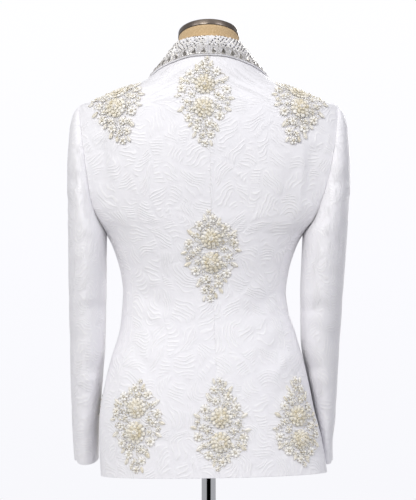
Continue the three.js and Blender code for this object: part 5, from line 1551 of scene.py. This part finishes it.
def form_point(angle, z):
    """The body drawn in by the wall and the clearance, and narrowed softly at the armhole."""
    p = body_point(angle, z)
    clear = CLEAR + (CLEAR_SHOULDER - CLEAR) * smoothstep(z, 1400, 1440)
    inset = p - outward(p) * (WALL + clear)[..., None]
    over = np.log1p(np.exp((np.abs(inset[..., 0]) - shoulder_limit(z)) / BEND_SOFT)) * BEND_SOFT
    inset[..., 0] -= np.sign(inset[..., 0]) * np.where(z > 1445, 0, over)
    return inset


def neck_point(angle, inset, above):
    """A ring of the neck's oval, drawn in by inset and moved along the leaning neck by above."""
    across = (NECK_HALF_WIDTH - inset) * np.sin(np.radians(angle))
    along = (NECK_HALF_DEPTH - inset) * np.cos(np.radians(angle))
    y = NECK_Y + along * np.cos(NECK_TILT) - above * np.sin(NECK_TILT)
    return np.stack([across, y, NECK_TOP + along * np.sin(NECK_TILT) + above * np.cos(NECK_TILT)], -1)


form_angles = np.linspace(0, 360, FORM_SIDES + 1)[:-1]
shoulder_rows = [z for z in HIGH_ROWS if z >= SHOULDER_TIP_Z]
heights = np.unique(np.concatenate([np.arange(FORM_BOTTOM + 6, NECK_BAND_Z, FORM_ROW), shoulder_rows]))
body_rings = form_point(form_angles + 0 * heights[:, None], heights[:, None] + 0 * form_angles)
from_back = np.abs((form_angles + 180) % 360 - 180)
rising = np.linspace(0, 1, 6)[1:, None]
dip = NECK_DIP * smoothstep(from_back, 120, 180)
neck_z = NECK_BAND_Z + rising * (shoulder_ring_z(from_back) - dip - NECK_BAND_Z)
low_neck = form_point(form_angles + 0 * neck_z, neck_z)
low_neck = low_neck - outward(low_neck) * (NECK_IN * rising**2)[..., None]
share = np.linspace(0, 1, 15)[1:, None, None]
top_ring = neck_point(form_angles, 0, 0)
narrowing = 1 - (1 - share) ** 4
neck_rings = low_neck[-1] + (top_ring - low_neck[-1]) * np.concatenate([narrowing, narrowing, share], -1)
lip = np.stack([neck_point(form_angles, inset, 0.1) for inset in (0.6, 12)])
foot = form_point(form_angles, FORM_BOTTOM + 0 * form_angles)
round_bore = np.radians(form_angles)
bore = BORE_RADIUS * np.stack([np.sin(round_bore), np.cos(round_bore), 0 * round_bore], -1)
bore_foot = bore + [0, 0, FORM_BOTTOM]
bottom = [bore_foot + (foot - bore_foot) * share for share in (0.3, 0.7, 0.975)]
corner = [foot * [0.992, 0.992, 1] + [0, 0, 1.2], foot * [0.998, 0.998, 1] + [0, 0, 3]]
under = np.stack([bore + [0, 0, BORE_TOP], bore_foot, *bottom, *corner])
torso = np.concatenate([under, body_rings, low_neck, neck_rings, lip])


def plain_linen(name):
    """Ecru linen drawn tight: crossed threads and thick slubs, matt and a little hairy."""
    material, tree = new_finish(name)
    mm = cloth_in_mm(tree)
    warp = add(tree, "TexWave", {"Vector": mm, "Scale": 0.62, "Distortion": 0.6}, bands_direction="X")
    weft = add(tree, "TexWave", {"Vector": mm, "Scale": 0.58, "Distortion": 0.6}, bands_direction="Y")
    crossed = {0: warp.outputs["Fac"], 1: weft.outputs["Fac"]}
    threads = add(tree, "Math", crossed, operation="MULTIPLY").outputs[0]
    slub = add(tree, "TexNoise", {"Vector": mm, "Scale": 0.35, "Detail": 3.0})
    uneven = {0: threads, 1: 0.45, 2: slub.outputs["Fac"]}
    mixed = add(tree, "Math", uneven, operation="MULTIPLY_ADD").outputs[0]
    colour = tint(tree, mixed, [(0.35, "#BFA075"), (0.7, "#D8BB90"), (1.0, "#E4CDA6")])
    relief = add(tree, "Bump", {"Strength": 0.8, "Distance": 0.0002, "Height": mixed})
    rough = add(tree, "MapRange", {"Value": slub.outputs["Fac"], "To Min": 0.82, "To Max": 0.96}).outputs[0]
    shade(tree, {"Base Color": colour, "Roughness": rough, "Normal": relief.outputs[0], "Sheen Weight": 0.15})
    return material


linen = plain_linen("ecru_linen_drawn_tight_over_the_form")
run = np.linalg.norm(np.diff(torso, axis=1), axis=-1)
around = np.concatenate([np.zeros((len(torso), 1)), np.cumsum(run, 1)], 1)
upward = np.concatenate([[0], np.cumsum(np.linalg.norm(np.diff(torso[:, 0], axis=0), axis=-1))])
linen_uv = np.stack([around, upward[:, None] + 0 * around], -1)
cover = [(torso, closed_rings(torso), 0, 0.5, linen_uv)]
make_piece("dress_form_linen", cover, [linen], "linen", replaces=["form_torso"])

# %% [markdown]
# The cap, the pole and the base are metal. The cap is spun from sheet, dark bronzed and polished, with a
# rounded shoulder. The pole is chromed tube. The base is a turned dish, brushed in rings and then plated.
# Each is a profile carried round an axis, with rows close together where an edge is rounded.
# %% Cap, pole and base


def bronzed(name):
    """Dark bronzed metal: brown grey, with cloudy rubbing that makes some of it duller."""
    material, tree = new_finish(name)
    place = add(tree, "TexCoord").outputs["Object"]
    rubbed = add(tree, "TexNoise", {"Vector": place, "Scale": 28.0, "Detail": 4.0})
    colour = tint(tree, rubbed.outputs["Fac"], [(0.3, "#5B524B"), (0.7, "#857A70")])
    rough = add(tree, "MapRange", {"Value": rubbed.outputs["Fac"], "To Min": 0.25, "To Max": 0.42}).outputs[0]
    shade(tree, {"Base Color": colour, "Metallic": 0.85, "Roughness": rough, "Coat Weight": 0.3})
    return material


def brushed(name, stops, low, high, scale):
    """Plated metal with fine marks round its axis: the marks streak the gloss, so that highlights spread."""
    material, tree = new_finish(name)
    place = add(tree, "TexCoord").outputs["Object"]
    streak = add(tree, "VectorMath", {0: place, 1: scale}, operation="MULTIPLY").outputs[0]
    marks = add(tree, "TexNoise", {"Vector": streak, "Scale": 1.0, "Detail": 3.0})
    rough = add(tree, "MapRange", {"Value": marks.outputs["Fac"], "To Min": low, "To Max": high}).outputs[0]
    relief = add(tree, "Bump", {"Strength": 0.15, "Distance": 0.0001, "Height": marks.outputs["Fac"]})
    colour = tint(tree, marks.outputs["Fac"], stops)
    shade(tree, {"Base Color": colour, "Metallic": 1.0, "Roughness": rough, "Normal": relief.outputs[0]})
    return material


def make_metal(name, rings, finish, slot, node):
    """A closed metal piece through rings of points, in place of its node."""
    make_piece(name, [(rings, closed_rings(rings), 0, 0.5, None)], [finish], slot, replaces=[node])


# Rows of how far in from the neck's oval and how far above its top
CAP_ROWS = [[8, 0.3], [0.4, 0.3], [-0.9, 0.9], [-1, 1.6], [-1, 9.2], [-0.7, 10.2], [0.1, 10.9], [1.2, 11.25]]
CAP_ROWS += [[14, 11.3]]
cap_angles = np.linspace(0, 360, 97)[:-1]
cap = np.stack([neck_point(cap_angles, inset, above) for inset, above in CAP_ROWS])
bronze = bronzed("dark_bronzed_metal_cap")
make_metal("neck_cap_metal", cap, bronze, "dark_cap", "form_neck_cap")

# Rows of radius and height
TUBE_ROWS = [[0.5, 12.3], [11.5, 12.3], [12.5, 13.3], [12.5, 15], [12.5, 300], [12.5, 600], [12.5, 907]]
TUBE_ROWS += [[12.5, 908.7], [11.5, 909.7], [0.5, 909.7]]
DISH_ROWS = [[0.5, 0], [178.5, 0], [180, 1.2], [180, 6.8], [179, 8.4], [176, 10.6], [172, 11.8], [160, 12.4]]
DISH_ROWS += [[90, 13.6], [40, 14.9], [31, 15.6], [26, 17.6], [23, 20.6], [22, 24], [22, 48.5], [21.4, 50.8]]
DISH_ROWS += [[20, 52], [13.4, 52], [12.8, 51.4], [12.8, 12], [0.5, 12]]
chrome = brushed("chromed_tube_of_the_pole", [(0.2, "#CBCCCE"), (0.8, "#E6E7E9")], 0.03, 0.1, (60, 60, 2))
plated = brushed("brushed_and_plated_base", [(0.2, "#A2A4A8"), (0.8, "#C9CBCF")], 0.22, 0.38, (8, 8, 300))
make_metal("pole_tube", turned_piece(TUBE_ROWS, 64), chrome, "chrome", "form_pole")
make_metal("base_dish", turned_piece(DISH_ROWS, 128), plated, "chrome", "form_base")

# %% [markdown]
# The picture is a studio shot from behind: soft light from both sides, a white sweep behind the jacket and a
# pale floor. A lens far away keeps the sides upright, as in the photograph. White cloth shows its creases and
# its weave only if one side is lit more than the other, so the key light is twice as strong as the fill.
# The chromed pole mirrors the room: the world is dark behind the camera, bright at the sides and pale above.
# %% Camera and light
CAMERA_AWAY, CAMERA_X, CAMERA_Z, PICTURE_HEIGHT = 4.5, 0.00124, 1.177, 0.885  # metres
camera_data = bpy.data.cameras.new("photograph_camera")
camera = bpy.data.objects.new("photograph_camera", camera_data)
bpy.context.scene.collection.objects.link(camera)
camera.location = (CAMERA_X, CAMERA_AWAY, CAMERA_Z)
camera.rotation_euler = (np.pi / 2, 0, np.pi)
camera_data.sensor_fit = "VERTICAL"
camera_data.sensor_height = 36
camera_data.lens = 36 * CAMERA_AWAY / PICTURE_HEIGHT
bpy.context.scene.camera = camera

world = bpy.data.worlds.new("studio")
bpy.context.scene.world = world
world.use_nodes = True
sky = world.node_tree


def ranged(value, low, high, at_low, at_high, **settings):
    """The world's value spread from one range over another."""
    sockets = {"Value": value, "From Min": low, "From Max": high, "To Min": at_low, "To Max": at_high}
    return add(sky, "MapRange", sockets, **settings).outputs[0]


way = add(sky, "TexCoord").outputs["Generated"]
ahead = add(sky, "VectorMath", {0: way, 1: (0, -1, 0)}, operation="DOT_PRODUCT").outputs["Value"]
sweep = ranged(ahead, 0.9, 0.985, 0, 0.7, interpolation_type="SMOOTHSTEP")
parts = add(sky, "SeparateXYZ", {0: way}).outputs
level = add(sky, "Math", {0: parts["Z"]}, operation="ABSOLUTE").outputs[0]
sideways = add(sky, "Math", {0: parts["X"]}, operation="ABSOLUTE").outputs[0]
low = ranged(level, 0.15, 0.35, 1, 0)
walls = ranged(sideways, 0.48, 0.6, 0, 0.3)
dark_behind = ranged(ahead, -0.87, -0.81, -1, 0)
room = add(sky, "Math", {0: low, 1: dark_behind, 2: 1.0}, operation="MULTIPLY_ADD").outputs[0]
ceiling = ranged(parts["Z"], -0.7, 0.8, 0.08, 0.56)
above = add(sky, "Math", {0: sweep, 1: ceiling}, operation="ADD").outputs[0]
whole = add(sky, "Math", {0: walls, 1: low, 2: above}, operation="MULTIPLY_ADD").outputs[0]
strength = add(sky, "Math", {0: whole, 1: room}, operation="MULTIPLY").outputs[0]
sky.links.new(strength, sky.nodes["Background"].inputs["Strength"])
sky.nodes["Background"].inputs["Color"].default_value = linear("#FBFBFF")
bpy.context.scene.view_settings.view_transform = "Standard"


def softbox(name, place, aim_z, size, watts, colour):
    """A soft rectangular light that faces the jacket's middle at the height aim_z."""
    data = bpy.data.lights.new(name, "AREA")
    data.shape, data.size, data.size_y = "RECTANGLE", size[0], size[1]
    data.energy, data.color = watts, linear(colour)[:3]
    lamp = bpy.data.objects.new(name, data)
    bpy.context.scene.collection.objects.link(lamp)
    lamp.location = place
    way = np.array([0, 0, aim_z]) - place
    down, round_z = np.arccos(-way[2] / np.linalg.norm(way)), np.arctan2(way[1], way[0])
    lamp.rotation_euler = (down, 0, round_z - np.pi / 2)


softbox("key_softbox", (1.5, 3.5, 3.5), 1.25, (1.5, 1.8), 105, "#FFFEFB")
softbox("fill_softbox", (-2.9, 2.6, 3.1), 1.25, (1.4, 2.0), 52, "#F8F8FF")
softbox("side_softbox", (3.4, 1.8, 3.0), 1.25, (1.2, 2.0), 24, "#FAFAFF")
softbox("front_softbox", (-1.2, -3.9, 2.2), 1.15, (1.4, 1.8), 80, "#FFFEFB")

FLOOR_SIDES = 96
FLOOR_ROWS = [[0.02, -0.5], [600, -0.5], [1150, -0.5], [1150, -8.5], [0.02, -8.5]]  # radius and height
floor_finish, floor_tree = new_finish("pale_studio_floor")
grain = add(floor_tree, "TexCoord").outputs["Object"]
speck = add(floor_tree, "TexNoise", {"Vector": grain, "Scale": 60.0, "Detail": 3.0})
pale = tint(floor_tree, speck.outputs["Fac"], [(0, "#ECEBEC"), (1, "#F3F2F3")])
shade(floor_tree, {"Base Color": pale, "Roughness": 0.85})
floor_points = turned_piece(FLOOR_ROWS, FLOOR_SIDES).reshape(-1, 3) / 1000
floor_mesh = bpy.data.meshes.new("studio_floor")
quads = grid_quads(len(FLOOR_ROWS), FLOOR_SIDES, wrap=True)
floor_mesh.from_pydata(floor_points, [], facing_out(floor_points, [quads])[0])
floor_mesh.materials.append(floor_finish)
floor = bpy.data.objects.new("studio_floor", floor_mesh)
bpy.context.scene.collection.objects.link(floor)
